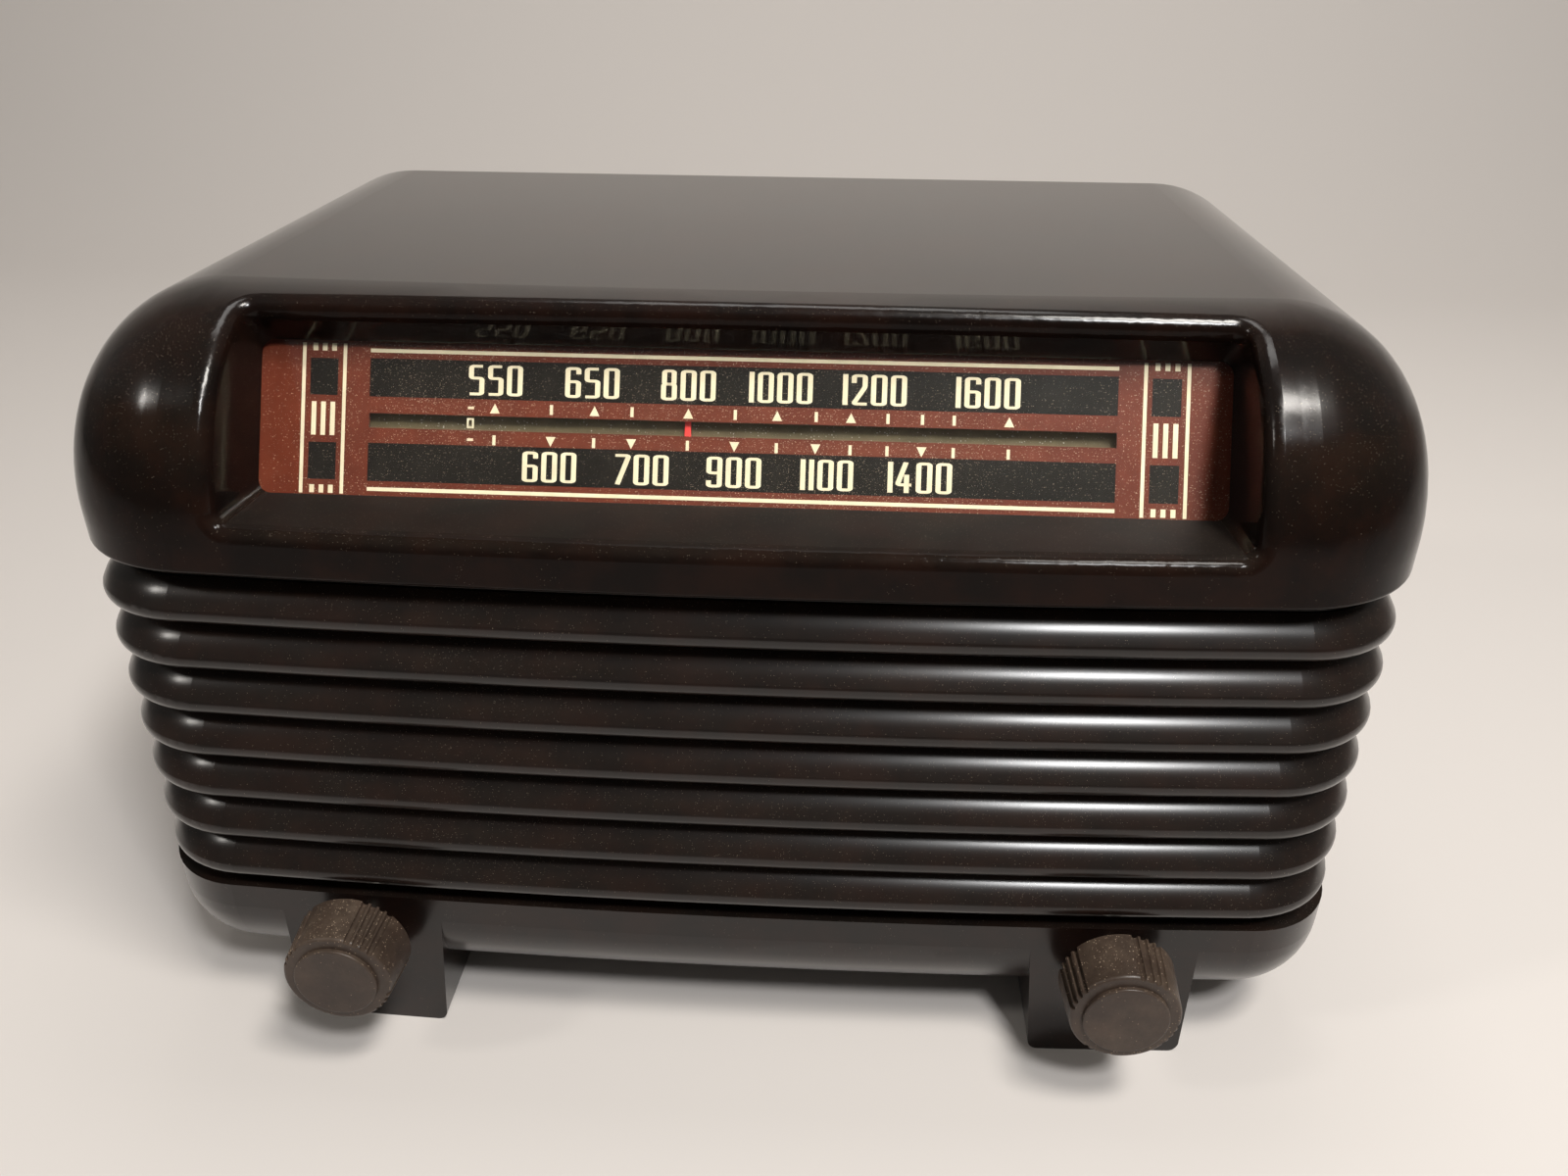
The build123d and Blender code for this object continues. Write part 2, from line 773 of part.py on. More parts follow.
with BuildPart() as tuning_shaft:
    with BuildSketch(upright(clip_back + shaft_tail)):
        with Locations((knob_x, knob_z)):
            Circle(shaft_radius)
    extrude(amount=clip_back + shaft_tail - shaft_front)
    with BuildSketch(upright(spool_back + spool_flange_width)):
        with Locations((knob_x, knob_z)):
            Circle(spool_flange_radius)
    extrude(amount=spool_gap + 2 * spool_flange_width)
    with BuildSketch(upright(spool_back)):
        with Locations((knob_x, knob_z)):
            Circle(spool_flange_radius)
            Circle(spool_radius, mode=Mode.SUBTRACT)
    extrude(amount=spool_gap, mode=Mode.SUBTRACT)
    with BuildSketch(upright(clip_back)):
        with Locations((knob_x, knob_z)):
            Circle(shaft_radius)
            Circle(shaft_radius - clip_groove_depth, mode=Mode.SUBTRACT)
    extrude(amount=clip_ring_width, mode=Mode.SUBTRACT)
tuning_shaft.part.label = "tuning_shaft"
export_step(tuning_shaft.part, "parts/tuning_shaft.step")

with BuildPart() as tuning_shaft_clip:
    with BuildSketch(upright(clip_back - shaft_clearance)):
        with Locations((knob_x, knob_z)):
            Circle(clip_ring_radius)
            Circle(shaft_radius - clip_groove_depth + shaft_clearance, mode=Mode.SUBTRACT)
        with Locations((knob_x, knob_z - clip_ring_radius)):
            Rectangle(2 * (shaft_radius - clip_groove_depth), 2 * clip_ring_radius, mode=Mode.SUBTRACT)
    extrude(amount=clip_ring_width - 2 * shaft_clearance)
tuning_shaft_clip.part.label = "tuning_shaft_clip"
export_step(tuning_shaft_clip.part, "parts/tuning_shaft_clip.step")

with BuildPart() as tuning_bushing:
    with BuildSketch(upright(tuning_bushing_back)):
        with Locations((knob_x, knob_z)):
            Circle(bushing_radius)
    extrude(amount=tuning_bushing_back - bushing_front)
    with BuildSketch(upright(apron_back + bushing_flange_width)):
        with Locations((knob_x, knob_z)):
            Circle(bushing_flange_radius)
    extrude(amount=bushing_flange_width)
    with BuildSketch(upright(tuning_bushing_back)):
        with Locations((knob_x, knob_z)):
            Circle(shaft_radius + shaft_clearance)
    extrude(amount=tuning_bushing_back - bushing_front, mode=Mode.SUBTRACT)
tuning_bushing.part.label = "tuning_bushing"
export_step(tuning_bushing.part, "parts/tuning_bushing.step")

# Volume control, whose bushing is like the tuning shaft's
control_bore_back = control_back - sheet
control_shaft_back = control_bore_back - clip_ring_play

with BuildPart() as volume_control:
    with BuildSketch(upright(control_back)):
        with Locations((-knob_x, knob_z)):
            Circle(control_radius)
    extrude(amount=control_back - apron_back)
    with BuildSketch(upright(apron_back)):
        with Locations((-knob_x, knob_z)):
            Circle(bushing_radius)
    extrude(amount=apron_back - bushing_front)
    with BuildSketch(upright(control_bore_back)):
        with Locations((-knob_x, knob_z)):
            Circle(shaft_radius + shaft_clearance)
    extrude(amount=control_bore_back - bushing_front, mode=Mode.SUBTRACT)
volume_control.part.label = "volume_control"
export_step(volume_control.part, "parts/volume_control.step")

with BuildPart() as volume_shaft:
    with BuildSketch(upright(control_shaft_back)):
        with Locations((-knob_x, knob_z)):
            Circle(shaft_radius)
    extrude(amount=control_shaft_back - shaft_front)
volume_shaft.part.label = "volume_shaft"
export_step(volume_shaft.part, "parts/volume_shaft.step")

with BuildPart() as control_nuts:
    with BuildSketch(upright(chassis_front)):
        with Locations((-knob_x, knob_z), (knob_x, knob_z)):
            RegularPolygon(nut_width / 2, 6, major_radius=False)
            Circle(bushing_radius + shaft_clearance, mode=Mode.SUBTRACT)
    extrude(amount=nut_thickness)
control_nuts.part.label = "control_nuts"
export_step(control_nuts.part, "parts/control_nuts.step")

# Cord drive: grooved drum, two idler pulleys on studs and the cord round them all


def grooved_wheel(x, z, groove_radius, flange, width, groove_width):
    """A wheel in the cord's plane with a square groove round its rim."""
    rim = groove_radius + flange
    with BuildPart() as wheel:
        with BuildSketch(upright(cord_depth + width / 2)):
            with Locations((x, z)):
                Circle(rim)
        extrude(amount=width)
        with BuildSketch(upright(cord_depth + groove_width / 2)):
            with Locations((x, z)):
                Circle(rim)
                Circle(groove_radius, mode=Mode.SUBTRACT)
        extrude(amount=groove_width, mode=Mode.SUBTRACT)
    return wheel.part


with BuildPart() as drive_drum:
    add(grooved_wheel(drum_x, drum_z, drum_groove_radius, drum_flange, drum_width, drum_groove_width))
    for face_depth in (cord_depth - drum_web / 2, cord_depth + drum_width / 2):
        with BuildSketch(upright(face_depth)):
            with Locations((drum_x, drum_z)):
                Circle(drum_groove_radius - drum_flange)
                Circle(drum_hub_radius, mode=Mode.SUBTRACT)
        extrude(amount=(drum_width - drum_web) / 2, mode=Mode.SUBTRACT)
    with BuildSketch(upright(cord_depth + drum_width / 2)):
        with Locations((drum_x, drum_z)):
            Circle(shaft_radius + shaft_clearance)
    extrude(amount=drum_width, mode=Mode.SUBTRACT)
drive_drum.part.label = "drive_drum"
export_step(drive_drum.part, "parts/drive_drum.step")


def idler_pulley(x):
    """An idler pulley at x, bored for its stud."""
    with BuildPart() as pulley:
        add(grooved_wheel(x, idler_z, idler_groove_radius, idler_flange, idler_width, idler_groove_width))
        with BuildSketch(upright(cord_depth + idler_width / 2)):
            with Locations((x, idler_z)):
                Circle(stud_radius + shaft_clearance)
        extrude(amount=idler_width, mode=Mode.SUBTRACT)
    return pulley.part


idler_pulley_left = idler_pulley(-idler_x)
idler_pulley_left.label = "idler_pulley_left"
export_step(idler_pulley_left, "parts/idler_pulley_left.step")

idler_pulley_right = idler_pulley(idler_x)
idler_pulley_right.label = "idler_pulley_right"
export_step(idler_pulley_right, "parts/idler_pulley_right.step")

idler_front = cord_depth - idler_width / 2 - stud_play
idler_back = cord_depth + idler_width / 2 + stud_play
with BuildPart() as idler_studs:
    for back, front, radius in (
        (bracket_front, idler_front - stud_head_width, stud_radius),
        (bracket_front, idler_back, stud_shoulder_radius),
        (idler_front, idler_front - stud_head_width, stud_shoulder_radius),
    ):
        with BuildSketch(upright(back)):
            with Locations((-idler_x, idler_z), (idler_x, idler_z)):
                Circle(radius)
        extrude(amount=back - front)
idler_studs.part.label = "idler_studs"
export_step(idler_studs.part, "parts/idler_studs.step")

# The cord's loop, in order round the wheels as seen from the front, anticlockwise
cord_wheels = (
    (Vector(knob_x, knob_z), spool_centre_radius),
    (Vector(idler_x, idler_z), idler_centre_radius),
    (Vector(-idler_x, idler_z), idler_centre_radius),
    (Vector(drum_x, drum_z), drum_centre_radius),
)


def cord_run(first, second):
    """Both ends of the straight run that touches two wheels on their outer side."""
    (centre_a, radius_a), (centre_b, radius_b) = first, second
    between = centre_b - centre_a
    heading = math.atan2(between.Y, between.X)
    lean = math.asin((radius_a - radius_b) / between.length)
    outward = heading - math.pi / 2 + lean
    normal = Vector(math.cos(outward), math.sin(outward))
    return centre_a + normal * radius_a, centre_b + normal * radius_b


next_wheels = cord_wheels[1:] + cord_wheels[:1]
cord_runs = [cord_run(first, second) for first, second in zip(cord_wheels, next_wheels)]
with BuildPart() as dial_cord:
    with BuildLine(upright(cord_depth)) as cord_line:
        next_runs = cord_runs[1:] + cord_runs[:1]
        for (run_start, run_end), (centre, radius), (next_start, _) in zip(cord_runs, next_wheels, next_runs):
            middle = ((run_end - centre) + (next_start - centre)).normalized() * radius + centre
            Line((run_start.X, run_start.Y), (run_end.X, run_end.Y))
            ThreePointArc((run_end.X, run_end.Y), (middle.X, middle.Y), (next_start.X, next_start.Y))
    cord_loop = cord_line.wires()[0]
    with BuildSketch(Plane(origin=cord_loop @ 0, z_dir=cord_loop % 0)):
        Circle(cord_radius)
    sweep(path=cord_loop)
dial_cord.part.label = "dial_cord"
export_step(dial_cord.part, "parts/dial_cord.step")
cord_length = cord_loop.length
print("dial cord length", round(cord_length, 1), "arc radii", [round(radius, 2) for _, radius in cord_wheels])
print("dial cord volume over section times length",
      round(dial_cord.part.volume / (math.pi * cord_radius**2 * cord_length), 4))

# Pointer: a slider on a rail, a tab that grips the cord and a needle behind the scale's slot
with BuildPart() as pointer_rail:
    with BuildSketch(Plane.YZ.offset(-rail_half_length)):
        with Locations((depth_y(rail_depth), rail_z)):
            Circle(rail_radius)
    extrude(amount=2 * rail_half_length)
pointer_rail.part.label = "pointer_rail"
export_step(pointer_rail.part, "parts/pointer_rail.step")

cord_top_z = idler_z + idler_centre_radius
needle_back = seat_depth + needle_gap + needle_thickness
arm_low = dial_point(needle_high - slider_side / 2, seat_depth + needle_gap)
arm_high = dial_point(needle_high, seat_depth + needle_gap)
with BuildPart() as dial_pointer:
    with BuildSketch(Plane.YZ.offset(pointer_x - slider_width / 2)):
        with Locations((depth_y(rail_depth), rail_z)):
            Rectangle(slider_side, slider_side)
    extrude(amount=slider_width)
    with BuildSketch(Plane.YZ.offset(pointer_x - tab_width / 2)):
        with Locations((depth_y(cord_depth), cord_top_z)):
            Rectangle(tab_thickness, tab_drop)
        with BuildLine():
            tab_top = rail_z - slider_side / 2
            tab_front = depth_y(cord_depth) - tab_thickness / 2
            tab_back = depth_y(cord_depth) + tab_thickness / 2
            Polyline(
                (tab_front, cord_top_z),
                (tab_back, cord_top_z),
                (tab_back, tab_top + stud_play),
                (tab_front, tab_top + stud_play),
                close=True,
            )
        make_face()
    extrude(amount=tab_width)
    with BuildSketch(Plane.YZ.offset(pointer_x - needle_width / 2)):
        with BuildLine():
            Polyline(
                arm_low,
                arm_high,
                (depth_y(rail_depth), rail_z + slider_side / 2),
                (depth_y(rail_depth), rail_z - slider_side / 2),
                close=True,
            )
        make_face()
    extrude(amount=needle_width)
    with BuildSketch(dial_plane(needle_back)):
        with Locations((pointer_x, (needle_low + needle_high) / 2)):
            Rectangle(needle_width, needle_high - needle_low)
    extrude(amount=needle_thickness)
    with BuildSketch(Plane.YZ.offset(pointer_x - slider_width / 2)):
        with Locations((depth_y(rail_depth), rail_z)):
            Circle(rail_radius + rail_clearance)
        with Locations((depth_y(cord_depth), cord_top_z)):
            Circle(cord_hole_radius)
    extrude(amount=slider_width, mode=Mode.SUBTRACT)
dial_pointer.part.label = "dial_pointer"
export_step(dial_pointer.part, "parts/dial_pointer.step")

# Dial bracket on two legs, with the rail's ears
with BuildPart() as dial_bracket:
    with BuildSketch(upright(bracket_depth)):
        with Locations((0, (bracket_low_z + bracket_high_z) / 2)):
            Rectangle(2 * bracket_half_width, bracket_high_z - bracket_low_z)
        for side in (-1, 1):
            with Locations((side * leg_x, (chassis_deck_z + bracket_high_z) / 2)):
                Rectangle(leg_width, bracket_high_z - chassis_deck_z)
    extrude(amount=bracket_thickness)
    for side in (-1, 1):
        with BuildSketch(level(chassis_deck_z)):
            with Locations((side * leg_x, depth_y(bracket_depth + leg_foot_length / 2))):
                Rectangle(leg_width, leg_foot_length)
        extrude(amount=bracket_thickness)
        ear_front = rail_depth - slider_side / 2
        with BuildSketch(Plane.YZ.offset(side * rail_ear_x - bracket_thickness / 2)):
            with Locations((depth_y((ear_front + bracket_front) / 2), rail_z)):
                Rectangle(bracket_front - ear_front, slider_side)
            with Locations((depth_y(rail_depth), rail_z)):
                Circle(rail_radius + rail_clearance, mode=Mode.SUBTRACT)
        extrude(amount=bracket_thickness)
dial_bracket.part.label = "dial_bracket"
export_step(dial_bracket.part, "parts/dial_bracket.step")

# Dial lamps at the two ends, lying across the set
lamp_depth = bracket_front - lamp_socket_radius
with BuildPart() as lamp_sockets:
    for side in (-1, 1):
        with BuildSketch(Plane.YZ.offset(side * lamp_socket_inner_x)):
            with Locations((depth_y(lamp_depth), lamp_z)):
                Circle(lamp_socket_radius)
        extrude(amount=side * lamp_socket_length)
lamp_sockets.part.label = "lamp_sockets"
export_step(lamp_sockets.part, "parts/lamp_sockets.step")

with BuildPart() as dial_lamps:
    for side in (-1, 1):
        with BuildSketch(Plane.YZ.offset(side * (lamp_socket_inner_x - bulb_length))):
            with Locations((depth_y(lamp_depth), lamp_z)):
                Circle(bulb_radius)
        extrude(amount=side * bulb_length)
    bulb_middle_x = lamp_socket_inner_x - bulb_length / 2
    bulb_edges = dial_lamps.edges().filter_by(GeomType.CIRCLE)
    fillet(bulb_edges.filter_by(lambda e: abs(e.center().X) < bulb_middle_x), bulb_tip_radius)
dial_lamps.part.label = "dial_lamps"
export_step(dial_lamps.part, "parts/dial_lamps.step")

# Chassis: a folded tray, open below, with flanges for its screws
with BuildPart() as chassis:
    with BuildSketch(Plane.YZ.offset(-chassis_half_width)) as tray_side:
        outer_depth = chassis_back - chassis_front
        outer_height = chassis_deck_z - chassis_foot_z
        tray_middle = (depth_y((chassis_front + chassis_back) / 2), (chassis_deck_z + chassis_foot_z) / 2)
        with Locations(tray_middle):
            Rectangle(outer_depth, outer_height)
            Rectangle(outer_depth - 2 * sheet, outer_height - 2 * sheet, mode=Mode.SUBTRACT)
        with Locations((tray_middle[0], chassis_foot_z + sheet / 2)):
            Rectangle(outer_depth - 2 * (sheet + flange_width), 2 * sheet, mode=Mode.SUBTRACT)
    extrude(amount=2 * chassis_half_width)
    fillet(chassis.edges().filter_by(Axis.X).group_by(Axis.Z)[-1], bend_radius)
    with BuildSketch(level(chassis_foot_z)):
        with Locations((0, chassis_middle)):
            with GridLocations(2 * chassis_screw_x, screw_pitch_y, 2, 2):
                Circle(chassis_screw_radius + shaft_clearance)
    extrude(amount=sheet, mode=Mode.SUBTRACT)
    with BuildSketch(upright(apron_back)):
        with Locations((-knob_x, knob_z), (knob_x, knob_z)):
            Circle(bushing_radius + screw_clearance)
    extrude(amount=sheet, mode=Mode.SUBTRACT)
    with BuildSketch(level(deck_under_z)):
        for place_x, place_depth in valve_places:
            with Locations((place_x, depth_y(place_depth))):
                Circle(socket_hole_radius)
    extrude(amount=sheet, mode=Mode.SUBTRACT)
chassis.part.label = "chassis"
export_step(chassis.part, "parts/chassis.step")

with BuildPart() as chassis_screws:
    with BuildSketch(level(base_bottom_z + screw_clearance)):
        with Locations((0, chassis_middle)):
            with GridLocations(2 * chassis_screw_x, screw_pitch_y, 2, 2):
                Circle(screw_head_radius)
    extrude(amount=screw_head_height)
    with BuildSketch(level(base_bottom_z + screw_clearance)):
        with Locations((0, chassis_middle)):
            with GridLocations(2 * chassis_screw_x, screw_pitch_y, 2, 2):
                Circle(chassis_screw_radius)
    extrude(amount=chassis_screw_end_z - base_bottom_z)
    with BuildSketch(level(base_bottom_z + screw_clearance)):
        with Locations((0, chassis_middle)):
            with GridLocations(2 * chassis_screw_x, screw_pitch_y, 2, 2):
                Rectangle(2 * screw_head_radius, driver_slot_width, rotation=driver_slot_turn)
    extrude(amount=driver_slot_depth, mode=Mode.SUBTRACT)
chassis_screws.part.label = "chassis_screws"
export_step(chassis_screws.part, "parts/chassis_screws.step")

# Tuning capacitor behind the drum
with BuildPart() as capacitor_frame:
    frame_middle_z = (chassis_deck_z + frame_top_z) / 2
    for plate_back in (frame_front + frame_plate, frame_back):
        with BuildSketch(upright(plate_back)):
            with Locations((drum_x, frame_middle_z)):
                Rectangle(frame_width, frame_top_z - chassis_deck_z)
        extrude(amount=frame_plate)
    with BuildSketch(level(chassis_deck_z)):
        with Locations((drum_x, depth_y((frame_front + frame_back) / 2))):
            Rectangle(frame_width, frame_back - frame_front)
    extrude(amount=frame_plate)
    with BuildSketch(upright(frame_back)):
        with Locations((drum_x, drum_z)):
            Circle(shaft_radius + shaft_clearance)
    extrude(amount=frame_back - frame_front, mode=Mode.SUBTRACT)
capacitor_frame.part.label = "capacitor_frame"
export_step(capacitor_frame.part, "parts/capacitor_frame.step")

rotor_middle = (frame_front + frame_back) / 2
rotor_first = rotor_middle - (rotor_plate_count - 1) / 2 * rotor_pitch
rotor_backs = [rotor_first + rotor_plate / 2 + index * rotor_pitch for index in range(rotor_plate_count)]
rotor_turn = math.radians(-90 - rotor_rest_angle)
rotor_heading = (math.cos(rotor_turn), 0, math.sin(rotor_turn))
with BuildPart() as capacitor_rotor:
    with BuildSketch(upright(frame_back + rotor_tail)):
        with Locations((drum_x, drum_z)):
            Circle(shaft_radius)
    extrude(amount=frame_back + rotor_tail - rotor_front_depth)
    for plate_back in rotor_backs:
        plate_origin = (drum_x, depth_y(plate_back), drum_z)
        with BuildSketch(Plane(origin=plate_origin, x_dir=rotor_heading, z_dir=(0, -1, 0))):
            Circle(rotor_plate_radius)
            with Locations((-rotor_plate_radius / 2, 0)):
                Rectangle(rotor_plate_radius, 2 * rotor_plate_radius, mode=Mode.SUBTRACT)
        extrude(amount=rotor_plate)
capacitor_rotor.part.label = "capacitor_rotor"
export_step(capacitor_rotor.part, "parts/capacitor_rotor.step")

bar_angle = math.radians(stator_bar_angle)
bar_x = stator_bar_reach * math.cos(bar_angle)
bar_z = drum_z - stator_bar_reach * math.sin(bar_angle)
bar_places = [(drum_x - bar_x, bar_z), (drum_x + bar_x, bar_z)]
with BuildPart() as capacitor_stator:
    for plate_back in rotor_backs[:-1]:
        with BuildSketch(upright(plate_back + rotor_pitch / 2)):
            with Locations((drum_x, drum_z)):
                Circle(stator_radius)
            with Locations(*bar_places):
                Circle(stator_ear_radius)
            with Locations((drum_x, drum_z + stator_radius)):
                Rectangle(4 * stator_radius, 2 * stator_radius, mode=Mode.SUBTRACT)
            with Locations((drum_x, drum_z)):
                Circle(stator_bore, mode=Mode.SUBTRACT)
            with Locations(*bar_places):
                Circle(stator_bar_radius + shaft_clearance, mode=Mode.SUBTRACT)
        extrude(amount=rotor_plate)
capacitor_stator.part.label = "capacitor_stator"
export_step(capacitor_stator.part, "parts/capacitor_stator.step")

with BuildPart() as stator_bars:
    with BuildSketch(upright(frame_back - frame_plate)):
        with Locations(*bar_places):
            Circle(stator_bar_radius)
    extrude(amount=frame_back - frame_front - 2 * frame_plate)
stator_bars.part.label = "stator_bars"
export_step(stator_bars.part, "parts/stator_bars.step")

# Baffle board and grille cloth in front of the loudspeaker
with BuildPart() as speaker_baffle:
    with BuildSketch(upright(flange_depth)):
        with Locations((speaker_x, baffle_top_z - baffle_height / 2)):
            Rectangle(baffle_width, baffle_height)
        with Locations((speaker_x, speaker_z)):
            Circle(baffle_hole_radius, mode=Mode.SUBTRACT)
            with GridLocations(2 * speaker_screw_offset, 2 * speaker_screw_offset, 2, 2):
                Circle(speaker_screw_radius + shaft_clearance, mode=Mode.SUBTRACT)
    extrude(amount=baffle_thickness)
speaker_baffle.part.label = "speaker_baffle"
export_step(speaker_baffle.part, "parts/speaker_baffle.step")

with BuildPart() as grille_cloth:
    with BuildSketch(upright(baffle_depth)):
        with Locations((speaker_x, speaker_z)):
            Circle(cloth_radius)
    extrude(amount=cloth_thickness)
grille_cloth.part.label = "grille_cloth"
export_step(grille_cloth.part, "parts/grille_cloth.step")

# Loudspeaker, turned about its own axis: a radius and a depth for each point
speaker_axis = Axis((speaker_x, 0, speaker_z), (0, 1, 0))
speaker_half = Plane(origin=(speaker_x, front_y, speaker_z), x_dir=(1, 0, 0), z_dir=(0, 0, 1))
spider_depth = basket_back - spider_ring_height - spider_sheet

with BuildPart() as speaker_basket:
    with BuildSketch(upright(basket_depth)):
        with Locations((speaker_x, speaker_z)):
            RectangleRounded(flange_side, flange_side, flange_corner_radius)
            Circle(flange_hole_radius, mode=Mode.SUBTRACT)
            with GridLocations(2 * speaker_screw_offset, 2 * speaker_screw_offset, 2, 2):
                Circle(speaker_screw_radius + shaft_clearance, mode=Mode.SUBTRACT)
    extrude(amount=basket_sheet)
    with BuildSketch(speaker_half):
        with BuildLine():
            Polyline(
                (basket_front_radius - basket_sheet, basket_depth),
                (basket_front_radius, basket_depth),
                (basket_back_radius, basket_back + basket_sheet),
                (gap_radius, basket_back + basket_sheet),
                (gap_radius, basket_back),
                (spider_ring_inner, basket_back),
                (spider_ring_inner, basket_back - spider_ring_height),
                (spider_ring_outer, basket_back - spider_ring_height),
                (spider_ring_outer, basket_back),
                (basket_back_radius - basket_sheet, basket_back),
                close=True,
            )
        make_face()
    revolve(axis=speaker_axis)
    window_depth = (basket_depth + basket_back) / 2
    for window in range(basket_windows):
        turn = 360 / basket_windows * (window + 0.5)
        window_plane = Plane(origin=(speaker_x, depth_y(window_depth), speaker_z), x_dir=(0, 1, 0),
                             z_dir=(math.cos(math.radians(turn)), 0, math.sin(math.radians(turn))))
        with BuildSketch(window_plane.offset(spider_ring_outer)):
            Rectangle(basket_window_length, basket_window_width)
        extrude(amount=basket_front_radius - spider_ring_outer, mode=Mode.SUBTRACT)
speaker_basket.part.label = "speaker_basket"
export_step(speaker_basket.part, "parts/speaker_basket.step")

with BuildPart() as speaker_surround:
    with BuildSketch(upright(basket_depth + surround_sheet)):
        with Locations((speaker_x, speaker_z)):
            Circle(surround_outer)
            Circle(surround_inner, mode=Mode.SUBTRACT)
    extrude(amount=surround_sheet)
speaker_surround.part.label = "speaker_surround"
export_step(speaker_surround.part, "parts/speaker_surround.step")

cone_rim = surround_inner - cone_clearance
cone_neck_depth = spider_depth - cone_travel - cone_clearance - cone_sheet
with BuildPart() as speaker_cone:
    with BuildSketch(speaker_half):
        with BuildLine():
            Polyline(
                (cone_rim, basket_depth),
                (cone_rim, basket_depth + cone_sheet),
                (cone_rim - cone_lip, basket_depth + cone_sheet),
                (coil_outer_radius, cone_neck_depth + cone_sheet),
                (coil_outer_radius, basket_back + coil_length),
                (coil_inner_radius, basket_back + coil_length),
                (coil_inner_radius, cone_neck_depth),
                (0, cone_neck_depth),
                (0, cone_neck_depth - cone_sheet),
                (coil_outer_radius, cone_neck_depth - cone_sheet),
                (cone_rim - cone_lip, basket_depth),
                close=True,
            )
        make_face()
    revolve(axis=speaker_axis)
speaker_cone.part.label = "speaker_cone"
export_step(speaker_cone.part, "parts/speaker_cone.step")

with BuildPart() as speaker_spider:
    with BuildSketch(upright(spider_depth + spider_sheet)):
        with Locations((speaker_x, speaker_z)):
            Circle(spider_ring_outer)
            Circle(coil_outer_radius + cone_clearance, mode=Mode.SUBTRACT)
    extrude(amount=spider_sheet)
speaker_spider.part.label = "speaker_spider"
export_step(speaker_spider.part, "parts/speaker_spider.step")

magnet_front = basket_back + basket_sheet
with BuildPart() as speaker_magnet:
    with BuildSketch(upright(magnet_front + magnet_length)):
        with Locations((speaker_x, speaker_z)):
            Circle(magnet_radius)
    extrude(amount=magnet_length)
    with BuildSketch(upright(magnet_front + magnet_gap_depth)):
        with Locations((speaker_x, speaker_z)):
            Circle(gap_radius)
            Circle(pole_radius, mode=Mode.SUBTRACT)
    extrude(amount=magnet_gap_depth, mode=Mode.SUBTRACT)
speaker_magnet.part.label = "speaker_magnet"
export_step(speaker_magnet.part, "parts/speaker_magnet.step")

with BuildPart() as speaker_screws:
    with BuildSketch(upright(basket_depth + speaker_screw_head)):
        with Locations((speaker_x, speaker_z)):
            with GridLocations(2 * speaker_screw_offset, 2 * speaker_screw_offset, 2, 2):
                Circle(speaker_screw_head_radius)
    extrude(amount=speaker_screw_head)
    with BuildSketch(upright(basket_depth)):
        with Locations((speaker_x, speaker_z)):
            with GridLocations(2 * speaker_screw_offset, 2 * speaker_screw_offset, 2, 2):
                Circle(speaker_screw_radius)
    extrude(amount=basket_depth - baffle_depth + speaker_screw_bite)
speaker_screws.part.label = "speaker_screws"
export_step(speaker_screws.part, "parts/speaker_screws.step")

# Valves in their sockets
valve_foot_z = chassis_deck_z + socket_rim
envelope_z = valve_foot_z + valve_base_height

with BuildPart() as valve_sockets:
    for place_x, place_depth in valve_places:
        with BuildSketch(level(chassis_deck_z)):
            with Locations((place_x, depth_y(place_depth))):
                Circle(socket_rim_radius)
        extrude(amount=socket_rim)
        with BuildSketch(level(chassis_deck_z - socket_drop)):
            with Locations((place_x, depth_y(place_depth))):
                Circle(socket_hole_radius - socket_clearance)
        extrude(amount=socket_drop)
valve_sockets.part.label = "valve_sockets"
export_step(valve_sockets.part, "parts/valve_sockets.step")

with BuildPart() as valve_bases:
    with BuildSketch(level(valve_foot_z)):
        for place_x, place_depth in valve_places:
            with Locations((place_x, depth_y(place_depth))):
                Circle(valve_radius)
    extrude(amount=valve_base_height)
valve_bases.part.label = "valve_bases"
export_step(valve_bases.part, "parts/valve_bases.step")


def valve_envelopes(places, height):
    """Glass envelopes with domed tops, standing on their bases."""
    with BuildPart() as envelopes:
        with BuildSketch(level(envelope_z)):
            for place_x, place_depth in places:
                with Locations((place_x, depth_y(place_depth))):
                    Circle(valve_radius)
        extrude(amount=height)
        fillet(envelopes.edges().group_by(Axis.Z)[-1], valve_shoulder)
    return envelopes.part


small_valves = valve_envelopes(valve_small_places, valve_small_height)
small_valves.label = "small_valves"
export_step(small_valves, "parts/small_valves.step")

power_valves = valve_envelopes(valve_power_places, valve_power_height)
power_valves.label = "power_valves"
export_step(power_valves, "parts/power_valves.step")

# Tuned transformers in cans, and the filter capacitor
with BuildPart() as if_transformers:
    with BuildSketch(level(chassis_deck_z)):
        for place_x, place_depth in can_places:
            with Locations((place_x, depth_y(place_depth))):
                RectangleRounded(can_side, can_side, can_edge_radius)
    extrude(amount=can_height)
    fillet(if_transformers.edges().group_by(Axis.Z)[-1], can_edge_radius / 2)
if_transformers.part.label = "if_transformers"
export_step(if_transformers.part, "parts/if_transformers.step")

with BuildPart() as filter_capacitor:
    with BuildSketch(level(chassis_deck_z)):
        with Locations((filter_place[0], depth_y(filter_place[1]))):
            Circle(filter_radius)
    extrude(amount=filter_height)
    fillet(filter_capacitor.edges().group_by(Axis.Z)[-1], filter_edge_radius)
filter_capacitor.part.label = "filter_capacitor"
export_step(filter_capacitor.part, "parts/filter_capacitor.step")

